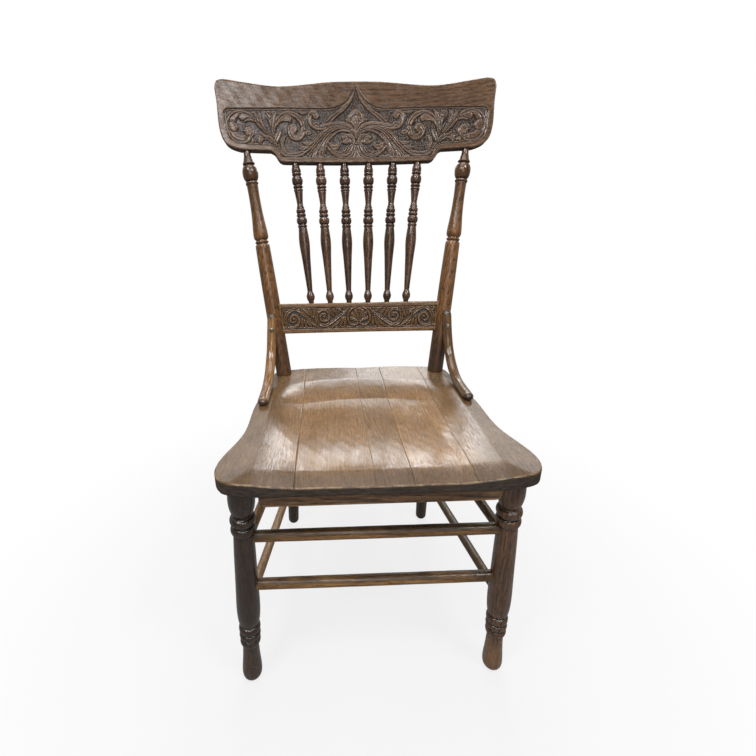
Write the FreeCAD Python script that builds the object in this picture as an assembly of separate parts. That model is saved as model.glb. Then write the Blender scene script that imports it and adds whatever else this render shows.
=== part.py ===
import FreeCAD
import Part
import math
import os

V = FreeCAD.Vector

# A press back side chair in oak, in millimetres, +Z up, front towards -Y.
# Positions are first laid out from the floor point under the seat; the finished chair is then
# shifted so that its origin is the bottom centre of its box.

# Fits
fit_clearance = 0.1
socket_end_gap = 0.6
seam_gap = 0.25

# Seat: a saddled top of edge-glued boards
seat_height = 446.0
seat_thickness = 23.5
seat_front_y = -200.0
seat_back_y = 210.0
seat_corner_half = 228.3
seat_corner_inset = 35.0
seat_corner_round = 42.0
seat_waist_margin = 16.0
seat_waist_y = 15.0
seat_back_margin = 27.0
seat_back_corner_inset = 52.0
seat_back_round = 34.0
seat_front_bow = 3.0
seat_back_bow = 4.0
seat_back_drop = 3.0
seat_seams_x = (-117.0, -8.0, 44.0, 129.0)

# Saddling of the seat's top
ridge_inset = 54.3
ridge_shoulder = 62.0
wing_drop = 5.0
dish_depth = 11.0
dish_front_rise = 3.5
dish_front_run = 95.0
rim_inset = 64.0
rim_bow = 24.0
bank_run = 82.0
band_inset = 36.0
band_drop = 5.0
band_end_drop = 4.0
grid_step = 13.0

# Apron under the seat's front edge
apron_leg_gap = 31.0
apron_height = 21.0
apron_thickness = 20.0
apron_setback = 9.0
apron_end_round = 9.0
apron_screw_spread = 120.0

# Front legs: the head's place under the seat, the splay to the foot, then the turned sections
front_leg_inset = 31.3
front_leg_setback = 48.0
front_splay = 18.0
front_rake = 8.5
front_tenon_r = 11.0
front_tenon_length = 14.0
foot_r = 16.8
foot_flat_r = 8.0
foot_round = 13.0
foot_neck_r = 13.6
foot_height = 72.0
foot_ring_r = 16.4
foot_ring_swell = 1.8
foot_ring_height = 18.0
shaft_low_r = 17.4
shaft_bulge_r = 18.9
shaft_bulge_rise = 24.0
shaft_top_r = 16.1
leg_ring_r = 16.4
leg_ring_swell = 2.5
leg_ring_height = 20.0
vase_height = 63.5
vase_low_r = 16.8
vase_max_r = 20.4
vase_top_r = 18.2

# Back legs
back_leg_inset = 17.0
back_leg_setback = 60.0
back_splay = 22.8
back_leg_rake = 95.9
back_tenon_r = 10.0
back_tenon_length = 12.0
back_foot_r = 13.0
back_foot_round = 9.0
back_swell_r = 16.5
back_swell_height = 290.0
back_top_r = 13.0

# Stretchers, by their heights on the legs' axes
stretcher_r = 9.2
stretcher_end_r = 8.9
side_stretcher_r = 8.1
side_stretcher_end_r = 7.7
stretcher_tenon_r = 6.2
stretcher_shoulder_gap = 1.0
stretcher_shoulder_run = 4.0
stretcher_tenon_inset = 2.0
upper_front_z = 315.0
lower_front_z = 217.0
upper_side_front_z = 295.0
upper_side_back_z = 308.0
lower_side_front_z = 171.0
lower_side_back_z = 157.0
rear_z = 235.0

# Back: everything is laid out in a plane that leans back by the rake
back_rake = 13.2
post_setback = 24.8
post_base_half = 163.0
post_r = 16.0
post_tenon_r = 11.0
post_tenon_length = 14.0
post_head_tenon_r = 5.6
post_head_tenon_length = 26.0
post_shoulder_r = 14.5
post_shoulder_drop = 188.0
post_shoulder_round = 3.5
post_ring_r = 11.5
post_ring = (4.5, 1.8)
post_collar_height = 6.5
post_taper_r = 14.9
post_neck_r = 10.5
post_lip_r = 11.3
post_lip = (4.5, 1.0)
post_ball_r = 10.8
post_ball = (30.0, 5.2)
post_ball_drop = 61.0
post_cap_r = 11.8
post_cap_top_r = 7.2

# Crest rail: its lower edge is a height along the raked back from the seat's rim, the rest from that edge
crest_thickness = 21.0
crest_bend_r = 1500.0
crest_bottom = 454.0
crest_belly_drop = 21.5
crest_belly_half = 150.0
crest_ogee_run = 25.0
crest_half = 276.0
crest_overhang = 54.0
crest_side_taper = 6.0
crest_dip_rise = 121.5
crest_dip_half = 162.0
crest_hump_rise = 133.5
crest_ear_rise = 128.5
crest_ear_round = 18.0
crest_corner_r = 36.0

# Lower back rail
rail_thickness = 18.0
rail_bend_r = 1100.0
rail_bottom = 86.0
rail_height = 62.5
rail_tenon_thickness = 8.0
rail_tenon_shoulder = 9.0
rail_tenon_reach = 10.0

# Spindles, fanning from the lower rail to the crest
spindle_count = 6
spindle_low_share = 0.62
spindle_high_share = 0.455
spindle_low_tenon_r = 3.6
spindle_high_tenon_r = 5.0
spindle_tenon_length = 11.0
spindle_stand_off = 0.2
spindle_base_height = 4.0
spindle_foot_height = 21.0
spindle_foot_r = 8.6
spindle_neck_r = 5.4
spindle_vase_r = 10.9
spindle_bead_r = 8.6
spindle_low_beads = ((6.5, 1.0), (14.0, 2.3), (6.5, 1.0), (8.0, 0.9))
spindle_high_beads = ((5.5, 0.9), (6.0, 1.3), (17.0, 2.6), (6.0, 1.0))
spindle_groove = 1.0
spindle_waist = 34.0
spindle_waist_r = 6.5
spindle_cap_r = 9.3
spindle_cap_top_r = 6.9
spindle_cap_height = 17.0

# Braces: oval rods, straight up the post, one bend, then straight along the seat
brace_width = 19.4
brace_depth = 15.0
brace_bend_r = 105.0
brace_out = 25.0
brace_reach = 157.2
brace_lean = 3.0
brace_top_rise = 129.0
brace_let_in = 5.0
brace_end_round = 5.0
brace_scribe = 1.0

# Round-head slotted screws
screw_head_r = 5.4
screw_head_height = 3.0
screw_shank_r = 2.1
screw_slot_width = 1.3
screw_slot_depth = 1.4
screw_sink = 1.2
brace_screw_length = 27.0
post_screw_drop = 34.0
seat_screw_inset = 17.0
apron_screw_length = 26.0

# Places that follow from the sizes above
seat_underside = seat_height - seat_thickness
seat_corner_y = seat_front_y + seat_corner_inset
seat_back_half = post_base_half + seat_back_margin
seat_back_corner_y = seat_back_y - seat_back_corner_inset
ridge_half = seat_corner_half - ridge_inset
rim_front_y = seat_back_y - rim_inset
band_y = seat_front_y + band_inset
front_head_half = seat_corner_half - front_leg_inset
front_head_y = seat_front_y + front_leg_setback
front_foot_half = front_head_half + front_splay
front_foot_y = front_head_y + front_rake
apron_half = front_head_half - apron_leg_gap
back_head_half = post_base_half - back_leg_inset
back_head_y = seat_back_y - back_leg_setback
back_foot_half = back_head_half + back_splay
back_foot_y = back_head_y + back_leg_rake
post_base_y = seat_back_y - post_setback
post_top_half = crest_half - crest_overhang
crest_belly = crest_bottom - crest_belly_drop
crest_dip = crest_bottom + crest_dip_rise
crest_hump = crest_bottom + crest_hump_rise
crest_ear = crest_bottom + crest_ear_rise
crest_ear_half = crest_half - crest_ear_round
rail_top = rail_bottom + rail_height
brace_end_half = post_base_half + brace_out
brace_end_y = post_base_y - brace_reach
seat_waist_half = brace_end_half + seat_waist_margin
pieces = {}


def smooth(share):
    """Eases from 0 to 1 with level ends."""
    share = min(max(share, 0.0), 1.0)
    return share * share * (3.0 - 2.0 * share)


def spline(points):
    """Edge of one smooth curve through the points."""
    curve = Part.BSplineCurve()
    curve.interpolate(points)
    return curve.toShape()


def both_sides(points):
    """The points of a right half, from its start at the middle, with their mirror images in front."""
    mirrored = [V(-p.x, p.y, p.z) for p in reversed(points) if p.x > 0]
    return mirrored + points


def turned(profile):
    """Turning about Z from (station, radius) points.

    A third number swells the way to that point into an arc; a list of points is one smooth curve.
    """
    here = V(profile[0][1], 0, profile[0][0])
    edges = [Part.makeLine(V(0, 0, here.z), here)]
    for step in profile[1:]:
        if isinstance(step, list):
            through = [here] + [V(radius, 0, station) for station, radius in step]
            edges.append(spline(through))
            here = through[-1]
            continue
        there = V(step[1], 0, step[0])
        if there == here:
            continue
        if len(step) == 3:
            chord = there - here
            outward = V(chord.z, 0, -chord.x).normalize()
            middle = (here + there) * 0.5 + outward * step[2]
            edges.append(Part.Arc(here, middle, there).toShape())
        else:
            edges.append(Part.makeLine(here, there))
        here = there
    edges.append(Part.makeLine(here, V(0, 0, here.z)))
    edges.append(Part.makeLine(V(0, 0, here.z), V(0, 0, profile[0][0])))
    return Part.Face(Part.Wire(edges)).revolve(V(0, 0, 0), V(0, 0, 1), 360)


def beads(station, radius, sizes, groove):
    """Profile steps of a row of beads, each (height, swell), with a flat groove after each."""
    steps = []
    for height, swell in sizes:
        steps += [(station, radius), (station + height, radius, swell)]
        station += height + groove
    return steps


def row_height(sizes, groove):
    """Height of a row of beads with the groove after each."""
    return sum(height + groove for height, swell in sizes)


def stand(shape, foot, head):
    """Moves a shape made along Z so that Z runs from foot to head."""
    placed = shape.copy()
    turn = FreeCAD.Rotation(V(0, 0, 1), head - foot)
    placed.Placement = FreeCAD.Placement(foot, turn)
    return placed


def rod(start, end, radius):
    """Plain round rod from start to end."""
    along = end - start
    return Part.makeCylinder(radius, along.Length, start, along)


def socket(start, end, radius):
    """Room for a tenon from start to end, with its clearance and a gap past its end."""
    along = (end - start).normalize()
    return rod(start - along * socket_end_gap, end + along * socket_end_gap, radius + fit_clearance)


def half_space(height, above):
    """A large block that fills everything above, or below, a height."""
    reach = 4.0 * seat_height
    base = height if above else height - reach
    return Part.makeBox(2 * reach, 2 * reach, reach, V(-reach, -reach, base))


def mirror(shape):
    """The left-hand copy of a right-hand shape."""
    return shape.mirror(V(0, 0, 0), V(1, 0, 0))


def on_axis(foot, head, height):
    """Point of a leg's axis at a height above the floor."""
    return foot + (head - foot) * ((height - foot.z) / (head.z - foot.z))


def to_back(shape):
    """Leans a shape from the upright back layout into the chair."""
    leaned = shape.copy()
    leaned.Placement = back_place.multiply(shape.Placement)
    return leaned


# Seat top

def seat_top(x, y):
    """Height of the saddled top: level ridges, a dish between them, wings and front band falling off."""
    aside = abs(x)
    depth_share = (y - seat_front_y) / (seat_back_y - seat_front_y)
    height = seat_height - seat_back_drop * depth_share
    height -= wing_drop * max(aside - ridge_half, 0.0) / (seat_corner_half - ridge_half)
    inside = smooth((ridge_half - aside) / ridge_shoulder)
    rim_y = rim_front_y - rim_bow * (x / ridge_half) ** 2
    bank = smooth((rim_y - y) / bank_run)
    rise = dish_front_rise * (1.0 - smooth((y - band_y) / dish_front_run))
    height -= inside * bank * (dish_depth - rise)
    mitre_y = band_y - max(aside - ridge_half, 0.0)
    past_band = smooth((mitre_y - y) / (band_y - seat_front_y))
    return height - past_band * (band_end_drop + (band_drop - band_end_drop) * inside)


def seat_outline():
    """Closed outline of the seat in plan, through the front edge, corners, waist and back edge."""
    front_end = seat_corner_half - seat_corner_round
    corner_chord = seat_corner_round * (1.0 - math.sqrt(0.5))
    back_end = seat_back_half - seat_back_round
    back_chord = seat_back_round * (1.0 - math.sqrt(0.5))
    back_edge_y = seat_back_y - seat_back_bow
    neck_y = 0.5 * (seat_corner_y + seat_waist_y)
    neck_half = seat_waist_half + 0.21 * (seat_corner_half - seat_waist_half)
    right = [
        V(0, seat_front_y, 0),
        V(front_end * 0.55, seat_front_y + seat_front_bow * 0.3, 0),
        V(front_end, seat_front_y + seat_front_bow, 0),
        V(seat_corner_half - corner_chord, seat_front_y + seat_front_bow + corner_chord * 0.85, 0),
        V(seat_corner_half, seat_corner_y, 0),
        V(neck_half, neck_y, 0),
        V(seat_waist_half, seat_waist_y, 0),
        V(seat_back_half, seat_back_corner_y, 0),
        V(seat_back_half - back_chord, back_edge_y - back_chord, 0),
        V(back_end, back_edge_y, 0),
        V(0, seat_back_y, 0),
    ]
    curve = Part.BSplineCurve()
    curve.interpolate(Points=right, InitialTangent=V(1, 0, 0), FinalTangent=V(-1, 0, 0))
    half = curve.toShape()
    return Part.Wire([half, mirror(half)])


def seat_blank():
    """The whole seat as one solid, before sockets and seams are cut."""
    margin = grid_step
    half = seat_corner_half + margin
    columns = int(math.ceil(2 * half / grid_step)) + 1
    front, back = seat_front_y - margin, seat_back_y + margin
    rows = int(math.ceil((back - front) / grid_step)) + 1
    grid = []
    for column in range(columns):
        x = -half + 2 * half * column / (columns - 1)
        ys = [front + (back - front) * row / (rows - 1) for row in range(rows)]
        grid.append([V(x, y, seat_top(x, y)) for y in ys])
    surface = Part.BSplineSurface()
    surface.interpolate(grid)
    above = surface.toShape().extrude(V(0, 0, 2 * seat_thickness))
    prism = Part.Face(seat_outline()).extrude(V(0, 0, seat_thickness + 2 * wing_drop))
    prism.translate(V(0, 0, seat_underside))
    return prism.cut(above)


blank = seat_blank()
scribe_blank = blank.copy()
scribe_blank.translate(V(0, 0, fit_clearance))

# Back plane: its origin is the rim point midway between the posts

post_base_z = seat_top(post_base_half, post_base_y)
back_place = FreeCAD.Placement(V(0, post_base_y, post_base_z), FreeCAD.Rotation(V(1, 0, 0), -back_rake))
post_base = V(post_base_half, 0, 0)
post_head = V(post_top_half, 0, crest_bottom)
post_length = (post_head - post_base).Length
post_up = (post_head - post_base) * (1.0 / post_length)
post_head_tip = post_head + post_up * post_head_tenon_length
seat_sockets = []


# Legs

def front_leg_profile(length):
    """Turned front leg from below the floor to above the seat's underside."""
    ring_1 = foot_height + 0.9 * foot_ring_height
    ring_2 = ring_1 + 1.1 * foot_ring_height
    shaft_low = ring_2 + foot_ring_height
    shaft_bulge = shaft_low + shaft_bulge_rise
    vase_low = length - vase_height
    leg_ring = vase_low - leg_ring_height
    shaft_top = leg_ring - leg_ring_height
    half_way = 0.5 * (shaft_bulge + shaft_top)
    half_r = 0.5 * (shaft_bulge_r + shaft_top_r)
    return [
        (-foot_round * 0.2, foot_flat_r),
        (0, foot_flat_r),
        (foot_round, foot_r, foot_round * 0.18),
        [(foot_height * 0.6, 0.5 * (foot_r + foot_neck_r)), (foot_height, foot_neck_r)],
        (ring_1, foot_ring_r - foot_ring_swell * 0.4, foot_ring_swell),
        (ring_2, foot_ring_r, foot_ring_swell),
        (shaft_low, foot_ring_r, foot_ring_swell),
        (shaft_low, shaft_low_r),
        [(shaft_bulge, shaft_bulge_r), (half_way, half_r), (shaft_top, shaft_top_r)],
        (shaft_top, leg_ring_r),
        (leg_ring, leg_ring_r, leg_ring_swell),
        (vase_low, leg_ring_r, leg_ring_swell),
        (vase_low, vase_low_r),
        [(vase_low + vase_height * 0.36, vase_max_r), (vase_low + vase_height * 0.75, vase_max_r * 0.96),
         (length + vase_height * 0.1, vase_top_r)],
    ]


def back_leg_profile(length):
    """Plain tapered back leg."""
    return [
        (-back_foot_round, back_foot_r * 0.55),
        (0, back_foot_r * 0.72),
        (back_foot_round, back_foot_r, back_foot_round * 0.12),
        [(0.5 * back_swell_height, 0.5 * (back_foot_r + back_swell_r)),
         (back_swell_height, back_swell_r),
         (length + back_top_r, back_top_r)],
    ]


def leg(profile, foot, head, tenon_r, tenon_length):
    """One leg: turned, sawn level with floor and seat, with its tenon; also records its socket."""
    along = (head - foot).normalize()
    body = stand(turned(profile((head - foot).Length)), foot, head)
    body = body.cut(half_space(0.0, False)).cut(half_space(seat_underside, True))
    tip = head + along * tenon_length
    seat_sockets.append(socket(head, tip, tenon_r))
    return body.fuse(rod(head - along * tenon_length, tip, tenon_r)).removeSplitter()


front_foot = V(front_foot_half, front_foot_y, 0)
front_head = V(front_head_half, front_head_y, seat_underside)
back_foot = V(back_foot_half, back_foot_y, 0)
back_head = V(back_head_half, back_head_y, seat_underside)
front_leg = leg(front_leg_profile, front_foot, front_head, front_tenon_r, front_tenon_length)
back_leg = leg(back_leg_profile, back_foot, back_head, back_tenon_r, back_tenon_length)


# Stretchers

def stretcher(start, end, start_r, end_r, middle_r, tip_r):
    """Round stretcher between two leg axes, shouldered just clear of the legs' surfaces."""
    length = (end - start).Length
    low = start_r + stretcher_shoulder_gap
    high = length - end_r - stretcher_shoulder_gap
    profile = [
        (stretcher_tenon_inset, stretcher_tenon_r),
        (low, stretcher_tenon_r),
        (low + stretcher_shoulder_run, tip_r, stretcher_shoulder_run * 0.15),
        [(0.5 * length, middle_r), (high - stretcher_shoulder_run, tip_r)],
        (high, stretcher_tenon_r, stretcher_shoulder_run * 0.15),
        (length - stretcher_tenon_inset, stretcher_tenon_r),
    ]
    return stand(turned(profile), start, end)


def tenon_room(start, end, start_r):
    """Socket at the start of a stretcher, from inside the leg to past its surface."""
    along = (end - start).normalize()
    mouth = start_r + 3 * stretcher_shoulder_gap
    return socket(start + along * stretcher_tenon_inset, start + along * mouth, stretcher_tenon_r)


def across(point):
    """The same point on the other side of the chair."""
    return V(-point.x, point.y, point.z)


front_leg_r = shaft_bulge_r
back_leg_r = back_swell_r
upper_front = on_axis(front_foot, front_head, upper_front_z)
lower_front = on_axis(front_foot, front_head, lower_front_z)
rear = on_axis(back_foot, back_head, rear_z)
side_runs = {
    "upper": (on_axis(front_foot, front_head, upper_side_front_z),
              on_axis(back_foot, back_head, upper_side_back_z)),
    "lower": (on_axis(front_foot, front_head, lower_side_front_z),
              on_axis(back_foot, back_head, lower_side_back_z)),
}
for level, end in (("upper", upper_front), ("lower", lower_front)):
    pieces["%s_front_stretcher" % level] = stretcher(
        across(end), end, front_leg_r, front_leg_r, stretcher_r, stretcher_end_r)
pieces["rear_stretcher"] = stretcher(
    across(rear), rear, back_leg_r, back_leg_r, side_stretcher_r, side_stretcher_end_r)
for point in (upper_front, lower_front):
    front_leg = front_leg.cut(tenon_room(point, across(point), front_leg_r))
back_leg = back_leg.cut(tenon_room(rear, across(rear), back_leg_r))
for level, (front_end, back_end) in side_runs.items():
    side = stretcher(front_end, back_end, front_leg_r, back_leg_r, side_stretcher_r, side_stretcher_end_r)
    pieces["right_%s_side_stretcher" % level] = side
    pieces["left_%s_side_stretcher" % level] = mirror(side)
    front_leg = front_leg.cut(tenon_room(front_end, back_end, front_leg_r))
    back_leg = back_leg.cut(tenon_room(back_end, front_end, back_leg_r))
pieces["right_front_leg"] = front_leg
pieces["left_front_leg"] = mirror(front_leg)
pieces["right_back_leg"] = back_leg
pieces["left_back_leg"] = mirror(back_leg)


# Back posts

def post_profile():
    """Turned post from inside the seat to the crest; the upper sections hang from the crest's edge."""
    shoulder = post_length - post_shoulder_drop
    ring = shoulder + 1.6 * post_shoulder_round
    collar = ring + post_ring[0] + 0.4 * post_shoulder_round
    taper = collar + post_collar_height
    ball = post_length - post_ball_drop
    lip = ball - post_lip[0] - spindle_groove
    run = lip - taper
    cap = ball + post_ball[0] + spindle_groove
    return [
        (-post_tenon_length, post_r),
        [(0, post_r), (0.6 * shoulder, 0.99 * post_r), (0.9 * shoulder, 0.94 * post_r),
         (shoulder, post_shoulder_r)],
        (shoulder + post_shoulder_round, post_ring_r + 1.0, 0.3 * post_shoulder_round),
        *beads(ring, post_ring_r, [post_ring], 0.0),
        (collar, post_ring_r - 0.5),
        (taper, post_taper_r - 0.1, 0.2 * post_collar_height),
        [(taper + 0.055 * run, post_taper_r), (taper + 0.3 * run, 0.5 * (post_taper_r + post_neck_r)),
         (taper + 0.57 * run, post_neck_r + 0.4), (taper + 0.84 * run, post_neck_r),
         (taper + 0.97 * run, post_neck_r + 0.6), (lip, post_lip_r)],
        *beads(lip, post_lip_r, [post_lip], 0.0),
        *beads(ball, post_ball_r, [post_ball], 0.0),
        (cap, post_ball_r),
        (cap + spindle_groove, post_cap_r, 0.4),
        [(0.5 * (cap + post_length), 0.5 * (post_cap_r + post_cap_top_r) - 0.4),
         (post_length, post_cap_top_r)],
    ]


def post_upright():
    """Right post in the upright back layout, sawn square to the crest's lower edge, with its head tenon."""
    body = stand(turned(post_profile()), post_base, post_head)
    body = body.cut(half_space(crest_bottom, True))
    root = post_head - post_up * post_head_tenon_length
    return body.fuse(rod(root, post_head_tip, post_head_tenon_r))


def bent_slab(bend_r, thickness, flat_half, low, high):
    """Slab bent in plan about an upright axis in front; its middle meets the post plane at flat_half."""
    centre = V(0, -math.sqrt(bend_r ** 2 - flat_half ** 2), low)
    outer = Part.makeCylinder(bend_r + 0.5 * thickness, high - low, centre)
    inner = Part.makeCylinder(bend_r - 0.5 * thickness, high - low, centre)
    return outer.cut(inner)


def bend_depth(bend_r, flat_half, x):
    """How far behind the post plane a bent slab's middle lies at x."""
    return math.sqrt(bend_r ** 2 - x ** 2) - math.sqrt(bend_r ** 2 - flat_half ** 2)


def crest_outline():
    """Front outline of the crest: humped top, ears, rounded lower corners, ogee steps to a lower belly."""
    tuck = crest_corner_r * (1.0 - math.sqrt(0.5))
    side_low = crest_bottom + crest_corner_r
    side_in = crest_half - crest_side_taper
    step_half = crest_belly_half + crest_ogee_run
    step = crest_bottom - crest_belly
    crown_half = 0.33 * crest_dip_half
    slope_half = 0.67 * crest_dip_half
    top = both_sides([
        V(0, 0, crest_hump),
        V(crown_half, 0, crest_hump - 0.12 * (crest_hump - crest_dip)),
        V(slope_half, 0, crest_dip + 0.37 * (crest_hump - crest_dip)),
        V(crest_dip_half, 0, crest_dip),
        V(0.5 * (crest_dip_half + crest_ear_half), 0, crest_dip + 0.45 * (crest_ear - crest_dip)),
        V(crest_ear_half, 0, crest_ear),
    ])
    ear = [
        V(crest_half - 0.22 * crest_ear_round, 0, crest_ear - 0.28 * crest_ear_round),
        V(crest_half, 0, crest_ear - crest_ear_round),
    ]
    side = [
        V(0.5 * (crest_half + side_in), 0, 0.5 * (crest_ear + side_low)),
        V(side_in, 0, side_low),
        V(side_in - tuck, 0, crest_bottom + tuck),
        V(side_in - crest_corner_r, 0, crest_bottom),
    ]
    ogee = [
        V(step_half - 0.27 * crest_ogee_run, 0, crest_bottom - 0.15 * step),
        V(step_half - 0.50 * crest_ogee_run, 0, crest_bottom - 0.50 * step),
        V(step_half - 0.75 * crest_ogee_run, 0, crest_bottom - 0.88 * step),
        V(crest_belly_half, 0, crest_belly),
    ]
    step_start = V(step_half, 0, crest_bottom)
    right = [
        spline([top[-1]] + ear),
        spline([ear[-1]] + side),
        Part.makeLine(side[-1], step_start),
        spline([step_start] + ogee),
    ]
    left = [mirror(edge) for edge in right]
    belly = Part.makeLine(ogee[-1], across(ogee[-1]))
    return Part.Wire(Part.__sortEdges__([spline(top), belly] + right + left))


def crest_upright():
    """Crest rail in the upright back layout."""
    reach = 8 * crest_thickness
    prism = Part.Face(crest_outline()).extrude(V(0, 2 * reach, 0))
    prism.translate(V(0, -reach, 0))
    low, high = crest_belly - crest_thickness, crest_hump + crest_thickness
    return prism.common(bent_slab(crest_bend_r, crest_thickness, post_top_half, low, high))


def post_half_at(height):
    """Distance of a post's axis from the chair's middle at a height up the back."""
    return post_base_half + (post_top_half - post_base_half) * height / crest_bottom


def rail_tenon(grow):
    """Tenon at the right end of the lower rail, grown on every side by a clearance."""
    low = rail_bottom + rail_tenon_shoulder - grow
    height = rail_top - rail_bottom - 2 * rail_tenon_shoulder + 2 * grow
    end = post_half_at(0.5 * (rail_bottom + rail_top)) - post_r + rail_tenon_reach + grow
    start = end - 2 * rail_tenon_reach - post_r
    corner = V(start, -0.5 * rail_tenon_thickness - grow, low)
    return Part.makeBox(end - start, rail_tenon_thickness + 2 * grow, height, corner)


def rail_upright():
    """Lower rail in the upright back layout: bent, scribed round the posts, with tenons into them."""
    flat_half = post_half_at(0.5 * (rail_bottom + rail_top)) - post_r
    slab = bent_slab(rail_bend_r, rail_thickness, flat_half, rail_bottom, rail_top)
    half = post_half_at(rail_top)
    window = Part.makeBox(2 * half, 8 * rail_thickness, rail_top - rail_bottom,
                          V(-half, -4 * rail_thickness, rail_bottom))
    body = slab.common(window)
    core = stand(Part.makeCylinder(post_r + fit_clearance, post_length), post_base, post_head)
    outer = Part.makeBox(2 * post_r + half, 8 * rail_thickness, post_length,
                         V(0, -4 * rail_thickness, 0))
    outer = stand(outer, post_base, post_head)
    scribe = core.fuse(outer)
    body = body.cut(scribe).cut(mirror(scribe))
    tenon = rail_tenon(0.0)
    return body.fuse(tenon).fuse(mirror(tenon)).removeSplitter()


# Spindles

def spindle_profile(length):
    """Turned spindle: the foot ball stands on the rail, the beads hang from the crest's lower edge."""
    base = spindle_base_height
    ball = spindle_foot_height
    foot = base + ball
    cap = length - spindle_cap_height
    high = cap - row_height(spindle_high_beads, spindle_groove)
    waist = high - spindle_waist
    low = waist - row_height(spindle_low_beads, spindle_groove)
    run = low - foot
    swell = spindle_vase_r - spindle_neck_r
    return [
        (-spindle_tenon_length, spindle_low_tenon_r),
        (spindle_stand_off, spindle_low_tenon_r),
        (spindle_stand_off, spindle_neck_r),
        (base, spindle_neck_r),
        [(base + 0.22 * ball, 0.89 * spindle_foot_r), (base + 0.45 * ball, spindle_foot_r),
         (base + 0.68 * ball, 0.91 * spindle_foot_r), (foot, spindle_neck_r)],
        [(foot + 0.16 * run, spindle_neck_r + 0.18 * swell),
         (foot + 0.38 * run, spindle_neck_r + 0.45 * swell),
         (foot + 0.60 * run, spindle_neck_r + 0.76 * swell),
         (foot + 0.79 * run, spindle_vase_r),
         (foot + 0.89 * run, spindle_neck_r + 0.86 * swell),
         (low, spindle_bead_r)],
        *beads(low, spindle_bead_r, spindle_low_beads, spindle_groove),
        (waist, spindle_bead_r),
        [(waist + 0.18 * spindle_waist, spindle_waist_r), (waist + 0.45 * spindle_waist, spindle_waist_r),
         (high, spindle_bead_r)],
        *beads(high, spindle_bead_r, spindle_high_beads, spindle_groove),
        (cap, spindle_cap_r),
        (length - spindle_stand_off, spindle_cap_top_r, 0.5),
        (length - spindle_stand_off, spindle_high_tenon_r),
        (length + spindle_tenon_length, spindle_high_tenon_r),
    ]


def spindle_ends(index):
    """Foot and head of one spindle's axis in the upright back layout."""
    place = 2.0 * index / (spindle_count - 1) - 1.0
    rail_half = post_half_at(0.5 * (rail_bottom + rail_top)) - post_r
    low_x, high_x = place * spindle_low_share * rail_half, place * spindle_high_share * crest_half
    foot = V(low_x, bend_depth(rail_bend_r, rail_half, low_x), rail_top)
    head = V(high_x, bend_depth(crest_bend_r, post_top_half, high_x), crest_belly)
    return foot, head


post = post_upright()
crest = crest_upright()
rail = rail_upright()
head_room = socket(post_head, post_head_tip, post_head_tenon_r)
crest = crest.cut(head_room).cut(mirror(head_room))
post = post.cut(rail_tenon(fit_clearance))
for index in range(spindle_count):
    foot, head = spindle_ends(index)
    along = (head - foot).normalize()
    spindle = stand(turned(spindle_profile((head - foot).Length)), foot, head)
    crest = crest.cut(socket(head, head + along * spindle_tenon_length, spindle_high_tenon_r))
    rail = rail.cut(socket(foot, foot - along * spindle_tenon_length, spindle_low_tenon_r))
    pieces["spindle_%d" % (index + 1)] = to_back(spindle)
pieces["crest_rail"] = to_back(crest)
pieces["lower_back_rail"] = to_back(rail)

back_turn = back_place.Rotation
post_along = back_turn.multVec(post_up)
post_foot = back_place.multVec(post_base)
post_tip = post_foot - post_along * post_tenon_length
seat_sockets.append(socket(post_foot, post_tip, post_tenon_r))
post = to_back(post).cut(scribe_blank).cut(half_space(seat_underside + 0.5 * seat_thickness, False))
post = post.fuse(rod(post_foot + post_along * post_tenon_length, post_tip, post_tenon_r)).removeSplitter()


# Braces: laid out from the end on the seat, up through the bend to the post

brace_z = seat_top(brace_end_half, brace_end_y) + 0.5 * brace_depth - brace_scribe
rake = math.radians(back_rake)
up_post = V(0, math.sin(rake), math.cos(rake))
off_post = V(0, -math.cos(rake), math.sin(rake))
front_of_post = post_r - brace_let_in + 0.5 * brace_depth
post_front = V(0, post_base_y, post_base_z) + off_post * front_of_post
bend_corner = post_front - up_post * ((post_front.z - brace_z) / up_post.z)
bend_turn = 0.5 * math.pi - rake
bend_tangent = brace_bend_r * math.tan(0.5 * bend_turn)
bend_start = bend_corner - V(0, bend_tangent, 0)
bend_end = bend_corner + up_post * bend_tangent
bend_centre = bend_start + V(0, 0, brace_bend_r)
bend_middle = bend_centre + V(0, math.sin(0.5 * bend_turn), -math.cos(0.5 * bend_turn)) * brace_bend_r
brace_start = V(0, brace_end_y, brace_z)
brace_top = post_front + up_post * brace_top_rise
brace_place = FreeCAD.Placement(
    V(brace_end_half, 0, brace_z), FreeCAD.Rotation(V(0, 1, 0), -brace_lean), V(0, 0, 0)
).multiply(FreeCAD.Placement(V(0, 0, -brace_z), FreeCAD.Rotation()))


def brace_rod(grow):
    """Bent oval rod in its own upright plane, grown by a clearance."""
    path = Part.Wire([
        Part.makeLine(brace_start, bend_start),
        Part.Arc(bend_start, bend_middle, bend_end).toShape(),
        Part.makeLine(bend_end, brace_top),
    ])
    oval = Part.Ellipse(brace_start + V(0.5 * brace_width + grow, 0, 0),
                        brace_start + V(0, 0, 0.5 * brace_depth + grow), brace_start)
    swept = path.makePipeShell([Part.Wire(oval.toShape())], True, False)
    swept.Placement = brace_place
    return swept


def rounded_ends(shape):
    """Rounds the two end arrises of a rod."""
    rims = [edge for edge in shape.Edges if edge.isClosed() and edge.Length > brace_depth]
    ends = [edge for edge in rims if any(edge.CenterOfMass.sub(p).Length < 0.2 * brace_depth
                                    for p in brace_ends)]
    return shape.makeFillet(brace_end_round, ends)


brace_ends = [brace_place.multVec(brace_start), brace_place.multVec(brace_top)]
brace = rounded_ends(brace_rod(0.0)).cut(scribe_blank)
post = post.cut(brace_rod(fit_clearance))


# Screws

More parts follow.
